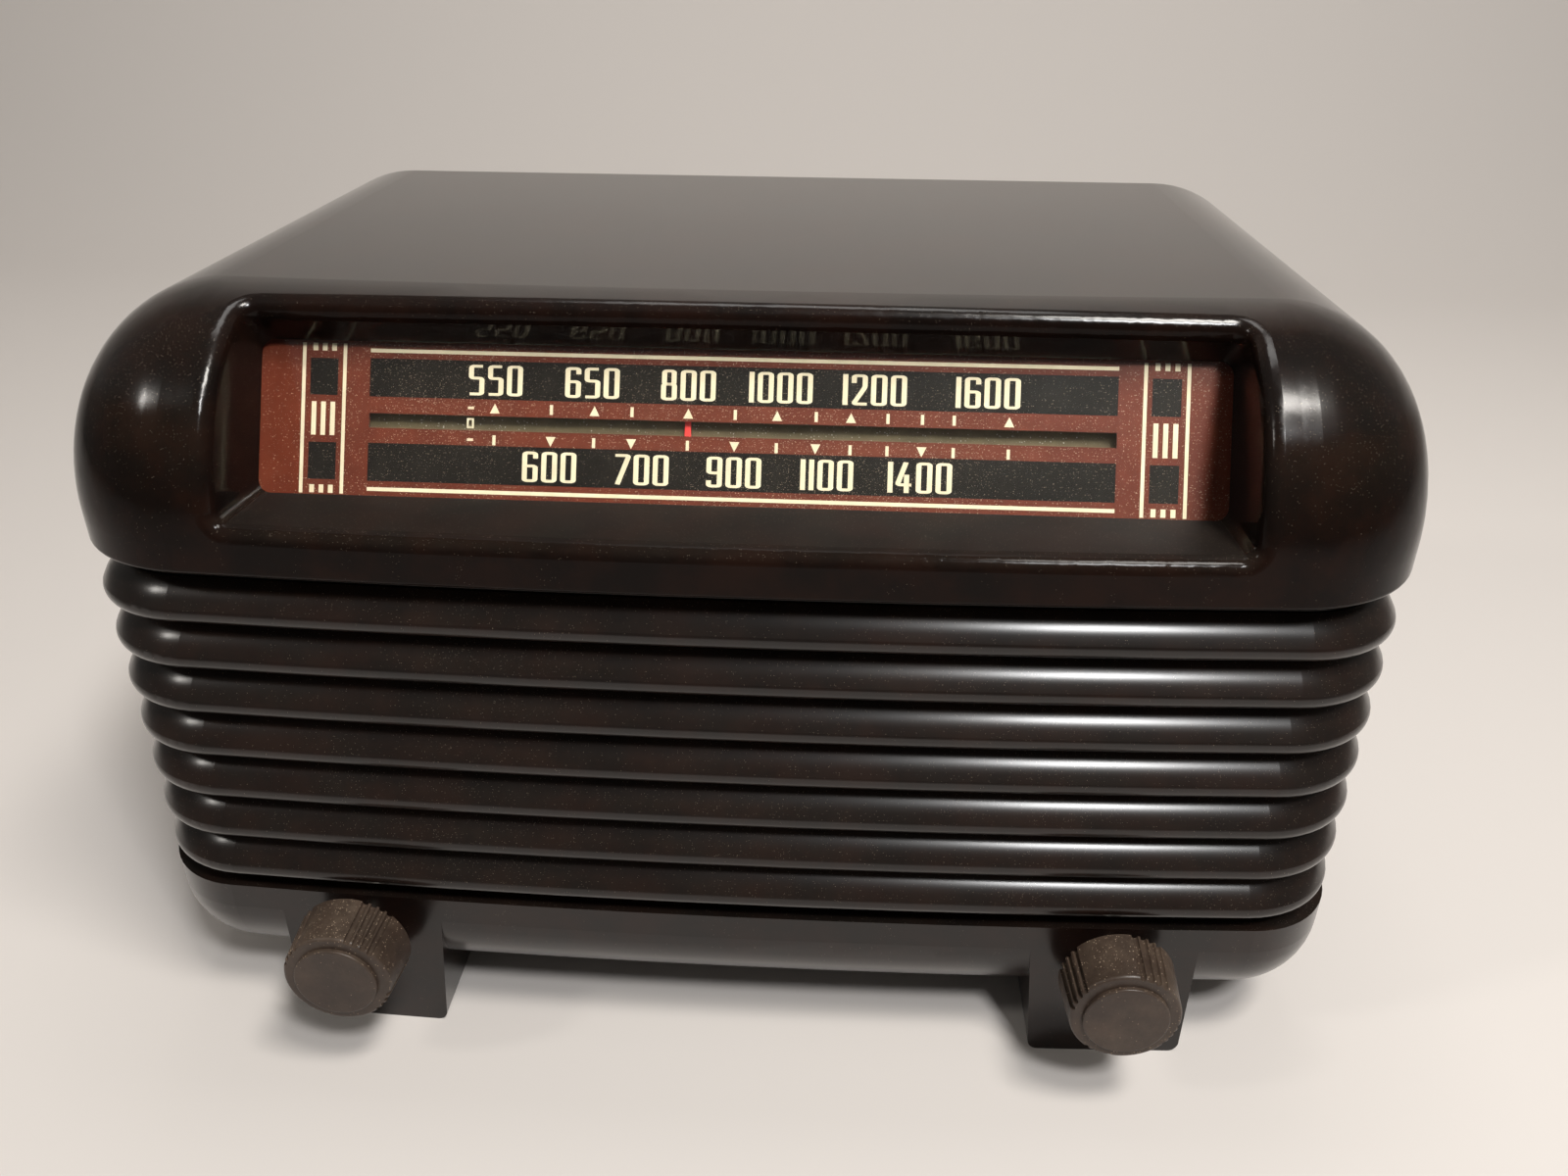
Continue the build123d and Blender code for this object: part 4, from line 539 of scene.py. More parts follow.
class Finishes:
    """Every finish on the set, built once."""

    def __init__(self) -> None:
        """Builds the shared effects and the materials."""
        self.effects = SharedEffects()
        phenolic = SurfaceFinish(
            "case_phenolic", (0.0055, 0.0034, 0.0028), (0.0125, 0.0052, 0.0034), tone_scale=70.0,
            rough=(0.09, 0.17), grain_scale=1500.0, grain_depth=0.0025 * MM, specular=0.09,
            dust_tone=(0.28, 0.225, 0.17), speck_size=0.17, speck_scale=3200.0, upward=0.85, film=0.018,
            ledge_height=0.15, ledge_rough=0.6)
        knob = SurfaceFinish(
            "knob_phenolic", (0.022, 0.013, 0.01), (0.036, 0.02, 0.014), tone_scale=90.0, rough=(0.32, 0.46),
            grain_scale=1500.0, grain_depth=0.02 * MM, specular=0.4, dust_tone=(0.37, 0.275, 0.195),
            speck_size=0.32, speck_scale=2600.0, upward=0.5, film=0.42)
        dial = (
            SurfaceFinish("dial_red", (0.078, 0.0148, 0.007), (0.098, 0.021, 0.0101), tone_scale=120.0,
                          rough=(0.35, 0.5), grain_scale=2500.0, specular=0.1, dust_tone=(0.26, 0.2, 0.15),
                          speck_size=0.36, speck_scale=3400.0, upward=0.0, film=0.04),
            SurfaceFinish("dial_cream", (0.52, 0.45, 0.32), (0.58, 0.5, 0.36), tone_scale=200.0,
                          rough=(0.4, 0.55), grain_scale=3000.0, specular=0.1),
            SurfaceFinish("dial_black", (0.0055, 0.0042, 0.0033), (0.0095, 0.0075, 0.006), tone_scale=160.0,
                          rough=(0.3, 0.45), grain_scale=2500.0, specular=0.1, dust_tone=(0.2, 0.16, 0.12),
                          speck_size=0.3, speck_scale=3400.0, upward=0.0, film=0.02),
            SurfaceFinish("dial_window", (0.115, 0.086, 0.044), (0.145, 0.11, 0.058), tone_scale=260.0,
                          rough=(0.4, 0.6), grain_scale=2500.0, specular=0.1, speck_size=0.3,
                          speck_scale=2000.0, upward=0.0, film=0.15),
            SurfaceFinish("pointer_red", (0.75, 0.035, 0.03), (0.62, 0.03, 0.022), tone_scale=300.0,
                          rough=(0.3, 0.4)),
        )
        metals = (
            SurfaceFinish("plated_steel", (0.5, 0.49, 0.46), (0.4, 0.39, 0.36), tone_scale=80.0,
                          rough=(0.28, 0.45), grain_scale=1600.0, grain_depth=0.01 * MM, metallic=1.0),
            SurfaceFinish("brass", (0.62, 0.44, 0.17), (0.45, 0.3, 0.11), tone_scale=90.0,
                          rough=(0.3, 0.5), grain_scale=1500.0, grain_depth=0.01 * MM, metallic=1.0),
            SurfaceFinish("aluminium", (0.66, 0.66, 0.66), (0.55, 0.55, 0.54), tone_scale=70.0,
                          rough=(0.32, 0.5), grain_scale=1800.0, grain_depth=0.01 * MM, metallic=1.0),
            SurfaceFinish("iron", (0.05, 0.05, 0.05), (0.075, 0.072, 0.07), tone_scale=90.0,
                          rough=(0.45, 0.65), grain_scale=1200.0, grain_depth=0.02 * MM, metallic=0.8),
        )
        works = (
            SurfaceFinish("moulded_black", (0.018, 0.014, 0.011), (0.03, 0.022, 0.016), tone_scale=80.0,
                          rough=(0.4, 0.55)),
            SurfaceFinish("cord", (0.36, 0.29, 0.19), (0.26, 0.2, 0.13), tone_scale=900.0,
                          rough=(0.8, 0.95), grain_scale=4000.0, grain_depth=0.05 * MM),
            SurfaceFinish("fibreboard", (0.13, 0.072, 0.04), (0.17, 0.1, 0.058), tone_scale=240.0,
                          rough=(0.65, 0.85), grain_scale=1400.0, grain_depth=0.06 * MM, speck_size=0.2,
                          speck_scale=900.0, upward=0.2, film=0.08),
            SurfaceFinish("paper", (0.03, 0.025, 0.021), (0.045, 0.038, 0.032), tone_scale=300.0,
                          rough=(0.8, 0.95), grain_scale=2500.0, grain_depth=0.04 * MM),
            SurfaceFinish("waxed_card", (0.42, 0.28, 0.11), (0.32, 0.2, 0.075), tone_scale=120.0,
                          rough=(0.35, 0.6), grain_scale=1000.0, grain_depth=0.03 * MM),
            SurfaceFinish("rubber", (0.012, 0.011, 0.01), (0.02, 0.018, 0.017), tone_scale=200.0,
                          rough=(0.6, 0.8), grain_scale=1500.0, grain_depth=0.02 * MM),
        )
        clear = (GlassFinish("dial_glass"), GlassFinish("lamp_glass", tint=(0.95, 0.95, 0.92), rough=0.03))
        cloth = WovenFinish("grille_cloth", warp=(0.05, 0.03, 0.018), weft=(0.085, 0.055, 0.03))
        kinds = (phenolic, knob, *dial, *metals, *works, *clear, cloth)
        self._made = {kind.name: kind.make(self.effects) for kind in kinds}

    def __getitem__(self, name: str) -> Material:
        """The material of that name."""
        return self._made[name]


NODE_FINISHES: dict[str, tuple[str, ...]] = {
    "case_phenolic": ("cabinet",),
    "knob_phenolic": ("tuning_knob", "volume_knob"),
    "dial_red": ("dial_scale",),
    "pointer_red": ("dial_pointer",),
    "plated_steel": ("glass_clips", "tuning_shaft", "tuning_shaft_clip", "volume_shaft", "idler_studs",
                     "pointer_rail", "dial_bracket", "chassis", "chassis_screws", "capacitor_frame",
                     "speaker_basket", "speaker_screws", "back_screws", "volume_control"),
    "brass": ("tuning_bushing", "control_nuts", "lamp_sockets"),
    "aluminium": ("drive_drum", "capacitor_rotor", "capacitor_stator", "if_transformers"),
    "moulded_black": ("idler_pulley_left", "idler_pulley_right", "valve_sockets", "valve_bases",
                      "stator_bars", "terminal_strip", "oscillator_coil"),
    "cord": ("dial_cord",),
    "lamp_glass": ("dial_lamps", "small_valves", "power_valves"),
    "fibreboard": ("speaker_baffle", "back_cover"),
    "paper": ("speaker_cone", "speaker_surround", "speaker_spider"),
    "iron": ("speaker_magnet", "transformer_core"),
    "waxed_card": ("filter_capacitor", "paper_capacitors", "transformer_coil", "loop_aerial"),
    "rubber": ("lead_grommet",),
}


def around(middle: float, width: float) -> Span:
    """The two ends of a width about its middle."""
    return middle - width / 2, middle + width / 2


def draw_line(shape: Shape, points: list[Point], closed: bool = False) -> list[bmesh.types.BMVert]:
    """Draws a line of edges from point to point.

    Args:
        shape: The shape that gets the line.
        points: The points in order.
        closed: Whether the last point joins the first.

    Returns:
        The line's corners.
    """
    corners = [shape.verts.new(point) for point in points]
    pairs = list(zip(corners, corners[1:]))
    if closed:
        pairs.append((corners[-1], corners[0]))
    for pair in pairs:
        shape.edges.new(pair)
    return corners


def push_lines(shape: Shape, way: Point) -> None:
    """Pushes every line of a shape into a wall.

    Args:
        shape: A shape of edges without faces.
        way: How far and where the lines are pushed.
    """
    walls = bmesh.ops.extrude_edge_only(shape, edges=shape.edges[:])
    pushed = [item for item in walls["geom"] if isinstance(item, bmesh.types.BMVert)]
    bmesh.ops.translate(shape, vec=way, verts=pushed)
    bmesh.ops.recalc_face_normals(shape, faces=shape.faces)


def mesh_piece(name: str, shape: Shape, material: Material) -> Piece:
    """Makes an object of a finished shape, with its place in its mesh.

    Args:
        name: The piece's name.
        shape: The shape, which is freed.
        material: The piece's finish.

    Returns:
        The new object, linked to the scene.
    """
    mesh = bpy.data.meshes.new(name)
    shape.to_mesh(mesh)
    shape.free()
    mesh.materials.append(material)
    piece = bpy.data.objects.new(name, mesh)
    bpy.context.scene.collection.objects.link(piece)
    return piece


def ride_as(piece: Piece, body: str, slot: str, *stands_for: str) -> Piece:
    """Puts a piece on a body of the set and reports it.

    Args:
        piece: The finished piece.
        body: The body it moves with.
        slot: A name for the piece's material slot; not used.
        stands_for: Solids that the piece replaces.

    Returns:
        The same piece.
    """
    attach(piece, body)
    if stands_for:
        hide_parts(*stands_for)
    LOG.info("%s: %d faces, rides on %s", piece.name, len(piece.data.polygons), body)
    return piece


@dataclass
class SolidDress:
    """Puts the finishes on the solids that keep their shape."""

    finishes: Finishes
    nodes: dict[str, Piece]

    def build(self) -> None:
        """Assigns each solid its material."""
        for finish, names in NODE_FINISHES.items():
            for name in names:
                slots = self.nodes[name].data.materials
                slots.clear()
                slots.append(self.finishes[finish])
            LOG.info("%s on %d solids", finish, len(names))


@dataclass
class DialPlane:
    """The slanted plane of the dial, found from the printed plate's own box."""

    tilt: float = math.radians(28.1)
    lap: float = 2.7 * MM
    plate: float = 0.6 * MM
    frame: Matrix = field(init=False)
    width: float = field(init=False)
    height: float = field(init=False)

    def __post_init__(self) -> None:
        """Works out the frame: x along the dial, y up it, z out of its front, from the foot's middle."""
        low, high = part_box("dial_scale")
        along = Vector((0.0, math.sin(self.tilt), math.cos(self.tilt)))
        out = Vector((0.0, -math.cos(self.tilt), math.sin(self.tilt)))
        pane_height = (high.y - low.y - self.plate * math.cos(self.tilt)) / math.sin(self.tilt)
        self.height = pane_height - 2 * self.lap
        self.width = high.x - low.x - 2 * self.lap
        foot = Vector((0.0, low.y, low.z + self.plate * math.sin(self.tilt))) + along * self.lap
        axes = Matrix((Vector((1.0, 0.0, 0.0)), along, out)).transposed()
        self.frame = Matrix.Translation(foot) @ axes.to_4x4()

    def settle(self, shape: Shape) -> None:
        """Moves a shape drawn on the flat onto the dial.

        Args:
            shape: A shape with x along the dial, y up it and z in front of its printed face.
        """
        bmesh.ops.transform(shape, matrix=self.frame, verts=shape.verts)


@dataclass
class NumeralHand:
    """Narrow numerals with heavy uprights, thin bars and round corners."""

    width: float = 3.15 * MM
    height: float = 6.05 * MM
    upright: float = 1.0 * MM
    bar: float = 0.55 * MM
    gap: float = 0.68 * MM
    corner: float = 0.34 * MM
    corner_segments: int = 4
    waist: float = 0.53
    ink: float = 0.03 * MM

    @property
    def stretch(self) -> float:
        """How much wider an upright is than a bar."""
        return self.upright / self.bar

    def strokes(self, digit: str) -> list[tuple[list[Span], bool]]:
        """Centre lines of one numeral on a unit square.

        Args:
            digit: The numeral.

        Returns:
            For each stroke, its points and whether it closes on itself.
        """
        waist = self.waist
        shapes: dict[str, list[tuple[list[Span], bool]]] = {
            "0": [([(0, 0), (1, 0), (1, 1), (0, 1)], True)],
            "1": [([(0, -0.045), (0, 1.045)], False)],
            "2": [([(0, 0.74), (0, 1), (1, 1), (1, 0.6), (-0.02, 0), (1.2, 0)], False)],
            "4": [([(1.0, 0.24), (-0.12, 0.24), (0.62, 1.04)], False), ([(0.7, -0.045), (0.7, 0.6)], False),
                  ([(0.9, 0.24), (1.15, 0.24)], False)],
            "5": [([(1.05, 1), (0, 1), (0, waist + 0.04), (1, waist + 0.04), (1, 0), (-0.12, 0)], False)],
            "6": [([(1, 0.8), (1, 1), (0, 1), (0, 0), (1, 0), (1, waist), (0, waist)], False)],
            "7": [([(-0.15, 1), (1.1, 1), (0.1, -0.04)], False)],
            "8": [([(0.06, waist), (0.94, waist), (0.94, 1), (0.06, 1)], True),
                  ([(0, 0), (1, 0), (1, waist), (0, waist)], True)],
            "9": [([(0, 0.2), (0, 0), (1, 0), (1, 1), (0, 1), (0, 1 - waist), (1, 1 - waist)], False)],
        }
        return shapes[digit]

    def advance(self, digit: str) -> float:
        """Width that a numeral takes, without the gap after it."""
        return self.upright if digit == "1" else self.width

    def draw(self, wire: Shape, text: str, middle: float, rise: float) -> None:
        """Adds the centre lines of a number, on a sheet whose x is squeezed by the stretch.

        Args:
            wire: The sheet of centre lines.
            text: The number.
            middle: x of the number's middle.
            rise: y of its foot.
        """
        total = sum(self.advance(digit) for digit in text) + self.gap * (len(text) - 1)
        start = middle - total / 2
        for digit in text:
            span = 0.0 if digit == "1" else (self.width - self.upright) / self.stretch
            left = (start + self.upright / 2) / self.stretch
            for points, closed in self.strokes(digit):
                self._stroke(wire, points, closed, left, span, rise)
            start += self.advance(digit) + self.gap

    def _stroke(self, wire: Shape, points: list[Span], closed: bool, left: float, span: float,
                rise: float) -> None:
        """Adds one stroke with its corners rounded.

        Args:
            wire: The sheet of centre lines.
            points: Points on the unit square.
            closed: Whether the stroke closes on itself.
            left: Squeezed x of the numeral's left centre line.
            span: Squeezed distance between its centre lines.
            rise: y of the numeral's foot.
        """
        tall = self.height - self.bar
        foot = rise + self.bar / 2
        corners = draw_line(wire, [(left + u * span, foot + v * tall, 0.0) for u, v in points], closed)
        bends = corners if closed else corners[1:-1]
        if bends:
            bmesh.ops.bevel(wire, geom=bends, offset=self.corner, segments=self.corner_segments, profile=0.5,
                            affect="VERTICES", offset_type="OFFSET", material=-1)

    def ink_shape(self, wire: Shape) -> Shape:
        """Gives the centre lines their width and a film of ink.

        Args:
            wire: The sheet of centre lines, which is freed.

        Returns:
            The inked strokes, at their true width.
        """
        push_lines(wire, (0.0, 0.0, self.ink))
        mesh = bpy.data.meshes.new("numeral_walls")
        wire.to_mesh(mesh)
        wire.free()
        holder = bpy.data.objects.new("numeral_walls", mesh)
        bpy.context.scene.collection.objects.link(holder)
        thick = holder.modifiers.new("stroke", "SOLIDIFY")
        thick.thickness = self.bar
        thick.offset = 0.0
        thick.use_even_offset = True
        settled = holder.evaluated_get(bpy.context.evaluated_depsgraph_get())
        shape = bmesh.new()
        shape.from_mesh(settled.to_mesh())
        settled.to_mesh_clear()
        bpy.data.objects.remove(holder)
        bpy.data.meshes.remove(mesh)
        bmesh.ops.scale(shape, vec=(self.stretch, 1.0, 1.0), verts=shape.verts)
        bmesh.ops.recalc_face_normals(shape, faces=shape.faces)
        return shape


@dataclass
class DialPrinting:
    """The dial's printing: black bands, cream rules, ladders, marks and numerals."""

    plane: DialPlane
    finishes: Finishes
    hand: NumeralHand = field(default_factory=NumeralHand)
    film: float = 0.02 * MM
    band_half: float = 73.6 * MM
    upper_band: Span = (19.8 * MM, 27.4 * MM)
    lower_band: Span = (3.0 * MM, 10.6 * MM)
    rule_rises: Span = (1.4 * MM, 28.95 * MM)
    rule_width: float = 0.75 * MM
    ladder_lines: Span = (78.75 * MM, 87.0 * MM)
    ladder_line_width: float = 0.7 * MM
    ladder_foot: float = 0.3 * MM
    ladder_head: float = 30.2 * MM
    ladder_blocks: tuple[Span, ...] = ((3.1 * MM, 10.5 * MM), (19.9 * MM, 27.2 * MM))
    ladder_bars: tuple[Span, ...] = ((0.4 * MM, 2.0 * MM), (11.9 * MM, 18.55 * MM), (28.7 * MM, 30.2 * MM))
    ladder_bar_pitch: float = 1.9 * MM
    ladder_bar_width: float = 0.95 * MM
    block_width: float = 5.6 * MM
    upper_mark_rise: float = 18.05 * MM
    lower_mark_rise: float = 11.75 * MM
    mark_height: float = 1.95 * MM
    triangle_width: float = 1.95 * MM
    tick_width: float = 0.62 * MM
    upper_numeral_foot: float = 20.55 * MM
    lower_numeral_foot: float = 3.7 * MM
    upper_numbers: tuple[tuple[str, float], ...] = (
        ("550", -48.3 * MM), ("650", -29.0 * MM), ("800", -9.95 * MM), ("1000", 8.25 * MM),
        ("1200", 26.6 * MM), ("1600", 48.6 * MM))
    lower_numbers: tuple[tuple[str, float], ...] = (
        ("600", -37.1 * MM), ("700", -18.75 * MM), ("900", -0.5 * MM), ("1100", 17.75 * MM),
        ("1400", 35.9 * MM))
    upper_places: tuple[float, ...] = (-48.3 * MM, -28.4 * MM, -9.8 * MM, 7.7 * MM, 22.15 * MM, 52.85 * MM)
    lower_places: tuple[float, ...] = (-37.0 * MM, -20.95 * MM, -0.55 * MM, 15.35 * MM, 36.05 * MM)
    plain_places: tuple[float, ...] = (29.35 * MM, 42.2 * MM)
    end_mark: float = -53.1 * MM
    dash_width: float = 1.2 * MM
    dash_height: float = 0.5 * MM
    end_square: Span = (1.4 * MM, 2.0 * MM)
    end_square_rise: float = 15.0 * MM
    end_square_line: float = 0.36 * MM
    glass_back: float = 0.095 * MM

    def build(self) -> None:
        """Lays both inks on the dial."""
        for ink, shape in ((Ink.BLACK, self._black()), (Ink.CREAM, self._cream())):
            self.plane.settle(shape)
            piece = mesh_piece(f"dial_{ink.value}_print", shape, self.finishes[f"dial_{ink.value}"])
            ride_as(piece, SET_BODY, "dial_print")

    @staticmethod
    def _bar(shape: Shape, x: Span, rise: Span, lift: float) -> None:
        """Adds a flat printed rectangle.

        Args:
            shape: The sheet of ink.
            x: Its ends along the dial.
            rise: Its foot and head.
            lift: Height of its face above the plate.
        """
        made = bmesh.ops.create_cube(shape, size=1.0)["verts"]
        bmesh.ops.scale(shape, vec=(x[1] - x[0], rise[1] - rise[0], lift), verts=made)
        bmesh.ops.translate(shape, vec=(sum(x) / 2, sum(rise) / 2, lift / 2), verts=made)

    def _black(self) -> Shape:
        """The two bands behind the numerals and the blocks in the ladders.

        Returns:
            The black ink, drawn on the flat.
        """
        shape = bmesh.new()
        for rises in (self.upper_band, self.lower_band):
            self._bar(shape, (-self.band_half, self.band_half), rises, self.film)
        middle = sum(self.ladder_lines) / 2
        for side in (-1, 1):
            for rises in self.ladder_blocks:
                self._bar(shape, around(side * middle, self.block_width), rises, self.film)
        return shape

    def _cream(self) -> Shape:
        """The rules, ladders, marks and numerals.

        Returns:
            The cream ink, drawn on the flat.
        """
        wire = bmesh.new()
        rows = ((self.upper_numbers, self.upper_numeral_foot), (self.lower_numbers, self.lower_numeral_foot))
        for numbers, foot in rows:
            for text, middle in numbers:
                self.hand.draw(wire, text, middle, foot)
        shape = self.hand.ink_shape(wire)
        ends = (-self.band_half, self.band_half)
        for rise in self.rule_rises:
            self._bar(shape, ends, around(rise, self.rule_width), self.hand.ink)
        for side in (-1, 1):
            self._ladder(shape, side)
        self._marks(shape)
        self._end_square(shape)
        return shape

    def _end_square(self, shape: Shape) -> None:
        """Adds the open square over the window's end, on the back of the glass.

        Args:
            shape: The sheet of ink.
        """
        made = bmesh.ops.create_grid(shape, x_segments=1, y_segments=1, size=0.5)["verts"]
        bmesh.ops.scale(shape, vec=(*self.end_square, 1.0), verts=made)
        bmesh.ops.translate(shape, vec=(self.end_mark, self.end_square_rise, self.glass_back), verts=made)
        middle = list({face for vert in made for face in vert.link_faces})
        ring = bmesh.ops.inset_region(shape, faces=middle, thickness=self.end_square_line, use_boundary=True,
                                      use_even_offset=True)["faces"]
        bmesh.ops.delete(shape, geom=middle, context="FACES")
        bmesh.ops.solidify(shape, geom=ring, thickness=self.hand.ink)

    def _ladder(self, shape: Shape, side: int) -> None:
        """Adds the upright lines at one end of the dial and the short bars between them.

        Args:
            shape: The sheet of ink.
            side: -1 for the left end, 1 for the right.
        """
        for line in self.ladder_lines:
            ends = around(side * line, self.ladder_line_width)
            self._bar(shape, ends, (self.ladder_foot, self.ladder_head), self.hand.ink)
        middle = sum(self.ladder_lines) / 2
        for rises in self.ladder_bars:
            for step in (-1, 0, 1):
                ends = around(side * middle + step * self.ladder_bar_pitch, self.ladder_bar_width)
                self._bar(shape, ends, rises, self.hand.ink)

    def _marks(self, shape: Shape) -> None:
        """Adds the triangles, ticks and the end mark beside the window.

        Args:
            shape: The sheet of ink.
        """
        for row, rise, pointed, plain in (
            (DialRow.UPPER, self.upper_mark_rise, self.upper_places, self.lower_places),
            (DialRow.LOWER, self.lower_mark_rise, self.lower_places, self.upper_places),
        ):
            for x in pointed:
                self._triangle(shape, x, rise, row)
            for x in plain + self.plain_places:
                self._bar(shape, around(x, self.tick_width), around(rise, self.mark_height), self.hand.ink)
            dash = around(self.end_mark, self.dash_width)
            self._bar(shape, dash, around(rise, self.dash_height), self.hand.ink)

    def _triangle(self, shape: Shape, x: float, rise: float, row: DialRow) -> None:
        """Adds a triangle that points at its number.

        Args:
            shape: The sheet of ink.
            x: Its middle.
            rise: Its middle height.
            row: The row it belongs to.
        """
        made = bmesh.ops.create_cone(shape, cap_ends=True, segments=3, radius1=1.0, radius2=1.0,
                                     depth=1.0)["verts"]
        turn = math.pi if row is DialRow.LOWER else 0.0
        low = min(vert.co.y for vert in made)
        tall = max(vert.co.y for vert in made) - low
        wide = max(vert.co.x for vert in made) - min(vert.co.x for vert in made)
        bmesh.ops.translate(shape, vec=(0.0, -low - tall / 2, 0.0), verts=made)
        size = (self.triangle_width / wide, self.mark_height / tall, self.hand.ink)
        bmesh.ops.scale(shape, vec=size, verts=made)
        bmesh.ops.rotate(shape, cent=(0.0, 0.0, 0.0), matrix=Matrix.Rotation(turn, 3, "Z"), verts=made)
        bmesh.ops.translate(shape, vec=(x, rise, self.hand.ink / 2), verts=made)


@dataclass
class DialGlass:
    """The pane in front of the printing, and the pale strip behind the pointer."""

    plane: DialPlane
    finishes: Finishes
    thickness: float = 2.0 * MM
    air: float = 0.1 * MM
    edge: float = 0.25 * MM
    edge_segments: int = 3
    strip_length: float = 152.0 * MM
    strip_height: float = 4.4 * MM
    strip_rise: float = 15.05 * MM
    strip_back: float = 2.7 * MM
    strip_sheet: float = 0.2 * MM
    strip_leg: float = 1.0 * MM
    facing: float = 0.9

    def build(self) -> None:
        """Makes the pane and the strip."""
        self._pane()
        self._strip()

    def _strip(self) -> None:
        """A long staple of painted sheet whose legs stand on the back of the printed plate."""
        strip = bmesh.new()
        bmesh.ops.create_cube(strip, size=1.0)
        size = (self.strip_length, self.strip_height, self.strip_sheet)
        bmesh.ops.scale(strip, vec=size, verts=strip.verts)
        inner = self.strip_length / 2 - self.strip_leg
        for x in (-inner, inner):
            bmesh.ops.bisect_plane(strip, geom=strip.verts[:] + strip.edges[:] + strip.faces[:],
                                   plane_co=(x, 0.0, 0.0), plane_no=(1.0, 0.0, 0.0))
        strip.faces.ensure_lookup_table()
        ends = [face for face in strip.faces
                if face.normal.z > self.facing and abs(face.calc_center_median().x) > inner]
        legs = bmesh.ops.extrude_discrete_faces(strip, faces=ends)["faces"]
        tips = list({vert for face in legs for vert in face.verts})
        bmesh.ops.translate(strip, vec=(0.0, 0.0, self.strip_back - self.strip_sheet), verts=tips)
        depth = -self.plane.plate - self.strip_back + self.strip_sheet / 2
        bmesh.ops.translate(strip, vec=(0.0, self.strip_rise, depth), verts=strip.verts)
        self.plane.settle(strip)
        bmesh.ops.recalc_face_normals(strip, faces=strip.faces)
        piece = mesh_piece("pointer_backing", strip, self.finishes["dial_window"])
        ride_as(piece, SET_BODY, "dial_print")

    def _pane(self) -> None:
        """The pane with its edges ground round."""
        pane = bmesh.new()
        bmesh.ops.create_cube(pane, size=1.0)
        laps = 2 * self.plane.lap
        size = (self.plane.width + laps, self.plane.height + laps, self.thickness - self.air)
        bmesh.ops.scale(pane, vec=size, verts=pane.verts)
        bmesh.ops.bevel(pane, geom=pane.edges[:], offset=self.edge, segments=self.edge_segments, profile=0.5,
                        affect="EDGES", material=-1)
        middle = (0.0, self.plane.height / 2, (self.thickness + self.air) / 2)
        bmesh.ops.translate(pane, vec=middle, verts=pane.verts)
        self.plane.settle(pane)
        piece = mesh_piece("dial_pane", pane, self.finishes["dial_glass"])
        ride_as(piece, SET_BODY, "dial_glass", "dial_glass")


@dataclass
class GrilleCloth:
    """The cloth stretched over the baffle board behind the sound slots."""

    finishes: Finishes
    sides: int = 64
    set_back: float = 0.1 * MM

    def build(self) -> None:
        """Makes the round cloth in the place of its solid."""
        low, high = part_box("grille_cloth")
        radius = (high.x - low.x) / 2
        shape = bmesh.new()
        bmesh.ops.create_circle(shape, cap_ends=True, segments=self.sides, radius=radius)
        upright = Matrix.Rotation(math.pi / 2, 3, "X")
        bmesh.ops.rotate(shape, cent=(0.0, 0.0, 0.0), matrix=upright, verts=shape.verts)
        middle = ((low.x + high.x) / 2, high.y - self.set_back, (low.z + high.z) / 2)
        bmesh.ops.translate(shape, vec=middle, verts=shape.verts)
        bmesh.ops.recalc_face_normals(shape, faces=shape.faces)
        cloth = mesh_piece("stretched_cloth", shape, self.finishes["grille_cloth"])
        ride_as(cloth, SET_BODY, "grille_cloth", "grille_cloth")


@dataclass(frozen=True)
class SoftLamp:
    """A rectangular lamp that hangs over the set or lights its backdrop."""

    name: str
    place: Point
    aim: Point
    size: Span
    power: float
    tint: Colour

    def hang(self) -> None:
        """Makes the lamp and turns it to its aim."""
        light = bpy.data.lights.new(self.name, "AREA")
        light.shape = "RECTANGLE"
        light.size, light.size_y = self.size
        light.energy = self.power
        light.color = self.tint
        lamp = bpy.data.objects.new(self.name, light)
        lamp.location = self.place
        lamp.rotation_euler = (Vector(self.aim) - Vector(self.place)).to_track_quat("-Z", "Y").to_euler()
        bpy.context.scene.collection.objects.link(lamp)


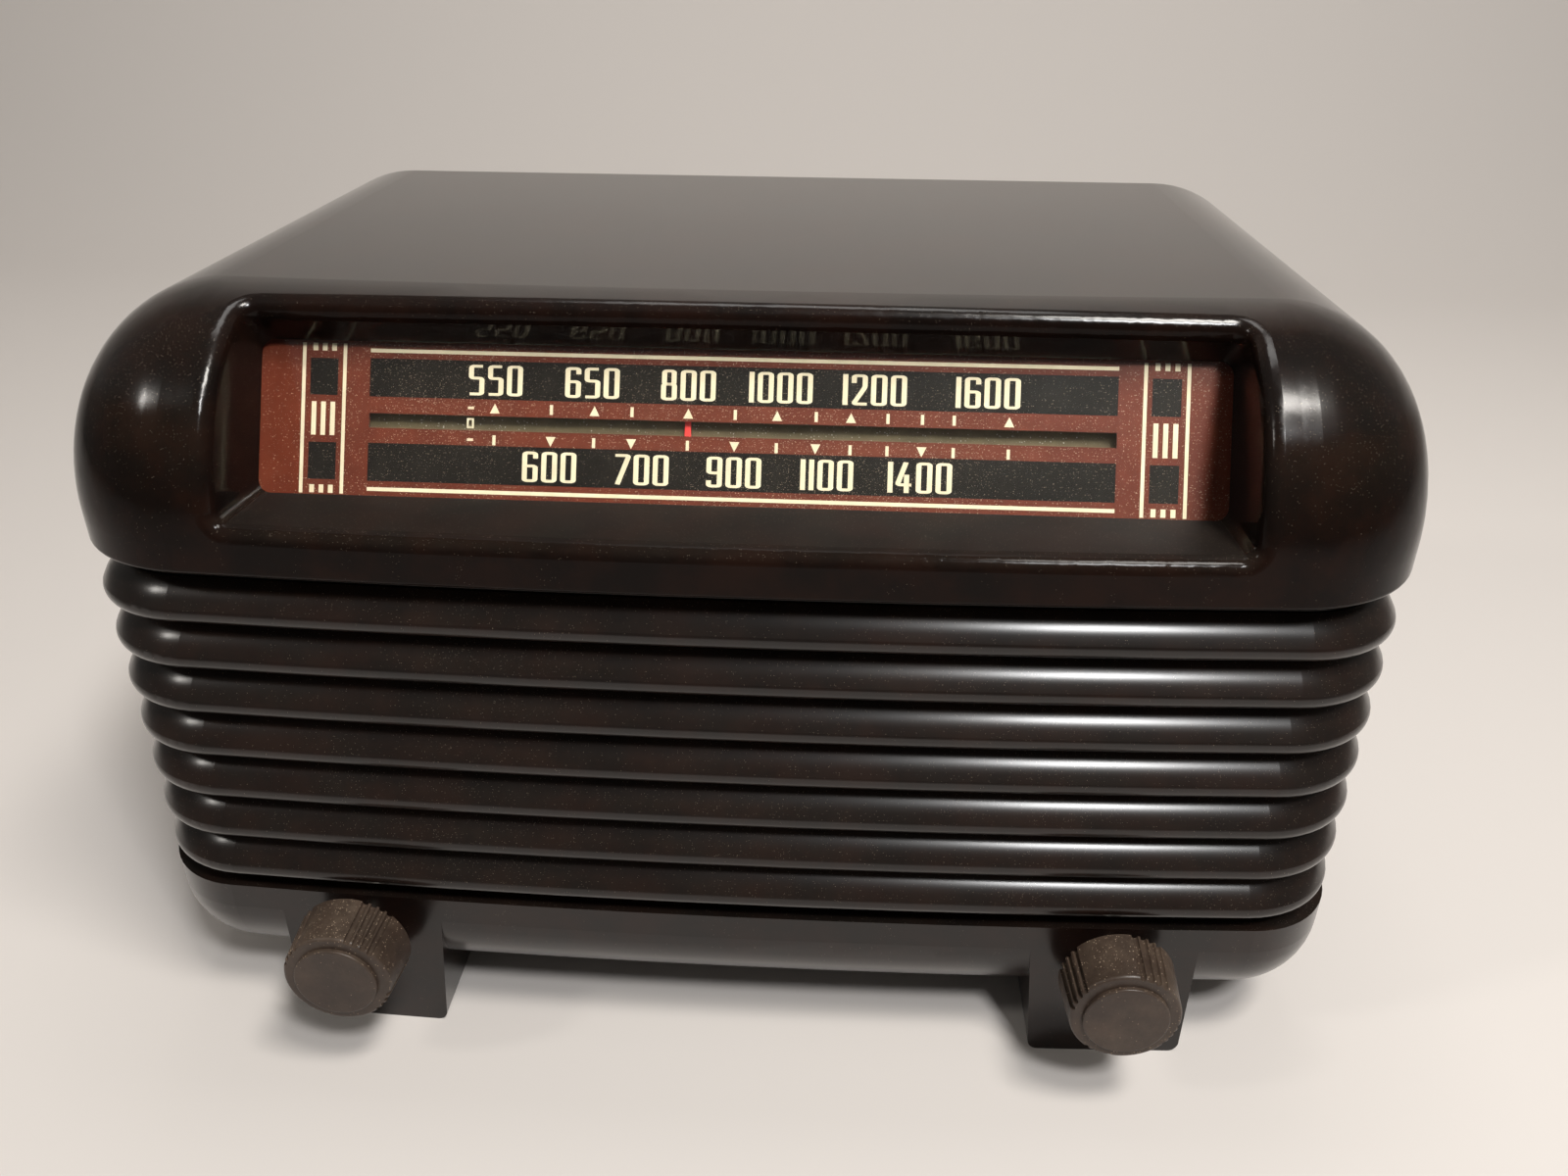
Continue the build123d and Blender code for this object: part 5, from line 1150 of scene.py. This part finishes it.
@dataclass
class Studio:
    """A pale floor that sweeps up behind the set, soft lamps and an even sky."""

    floor_half: float = 2.2
    floor_front: float = -1.8
    wall_y: float = 1.1
    wall_height: float = 2.2
    sweep: float = 0.5
    sweep_segments: int = 24
    floor_tone: Colour = (0.76, 0.715, 0.68)
    floor_rough: float = 0.85
    sky: Colour = (0.11, 0.106, 0.1)
    lamps: tuple[SoftLamp, ...] = (
        SoftLamp("key", place=(0.36, -0.36, 1.05), aim=(0.0, 0.0, 0.05), size=(0.3, 0.2), power=6.5,
                 tint=(1.0, 0.96, 0.9)),
        SoftLamp("window", place=(0.32, -0.62, 0.9), aim=(0.0, 0.0, 0.06), size=(0.16, 0.14), power=5.5,
                 tint=(0.98, 0.98, 0.98)),
        SoftLamp("fill", place=(-1.0, -0.5, 0.95), aim=(0.0, 0.0, 0.05), size=(0.14, 0.14), power=1.9,
                 tint=(1.0, 0.96, 0.9)),
        SoftLamp("backdrop", place=(0.0, 0.35, 1.5), aim=(0.0, 1.05, 0.35), size=(0.6, 0.6), power=4.2,
                 tint=(1.0, 0.98, 0.95)),
    )

    def build(self) -> None:
        """Makes the floor, the lamps and the world."""
        self._floor()
        for lamp in self.lamps:
            lamp.hang()
        world = bpy.data.worlds.new("studio_sky")
        world.use_nodes = True
        world.node_tree.nodes["Background"].inputs["Color"].default_value = (*self.sky, 1.0)
        bpy.context.scene.world = world

    def _floor(self) -> None:
        """A floor and backdrop in one sweep, from a line drawn across and pushed sideways."""
        shape = bmesh.new()
        points = ((self.floor_front, 0.0), (self.wall_y, 0.0), (self.wall_y, self.wall_height))
        corners = draw_line(shape, [(-self.floor_half, y, z) for y, z in points])
        bmesh.ops.bevel(shape, geom=[corners[1]], offset=self.sweep, segments=self.sweep_segments,
                        profile=0.5, affect="VERTICES", material=-1)
        push_lines(shape, (2 * self.floor_half, 0.0, 0.0))
        for face in shape.faces:
            face.smooth = True
        material, bench, shader = start_material("studio_paper", self.floor_tone)
        bench.fill(shader, Base_Color=(*self.floor_tone, 1.0), Roughness=self.floor_rough)
        mesh_piece("studio_floor", shape, material)


@dataclass
class PortraitCamera:
    """The camera, close above the front as in the photograph."""

    place: Point = (21.42 * MM, -271.0 * MM, 226.57 * MM)
    yaw: float = math.radians(-3.04)
    pitch: float = math.radians(28.39)
    roll: float = math.radians(-0.45)
    lens: float = 28.35
    sensor: float = 36.0
    near: float = 0.01

    def build(self) -> None:
        """Makes the camera and gives it to the scene."""
        ahead = math.cos(self.pitch)
        forward = Vector((math.sin(self.yaw) * ahead, math.cos(self.yaw) * ahead, -math.sin(self.pitch)))
        level = Vector((math.cos(self.yaw), -math.sin(self.yaw), 0.0))
        down = forward.cross(level)
        across = math.cos(self.roll) * level + math.sin(self.roll) * down
        up = math.sin(self.roll) * level - math.cos(self.roll) * down
        lens = bpy.data.cameras.new("portrait")
        lens.lens = self.lens
        lens.sensor_width = self.sensor
        lens.sensor_fit = "HORIZONTAL"
        lens.clip_start = self.near
        camera = bpy.data.objects.new("portrait", lens)
        turn = Matrix((across, up, -forward)).transposed().to_4x4()
        camera.matrix_world = Matrix.Translation(self.place) @ turn
        bpy.context.scene.collection.objects.link(camera)
        bpy.context.scene.camera = camera


def main() -> None:
    """Dresses the set and its studio."""
    logging.basicConfig(level=logging.INFO, format="%(message)s")
    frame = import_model()
    bpy.context.scene.view_settings.view_transform = "Standard"
    finishes = Finishes()
    plane = DialPlane()
    PortraitCamera().build()
    SolidDress(finishes, frame["nodes"]).build()
    DialPrinting(plane, finishes).build()
    DialGlass(plane, finishes).build()
    GrilleCloth(finishes).build()
    Studio().build()


if __name__ == "__main__":
    main()
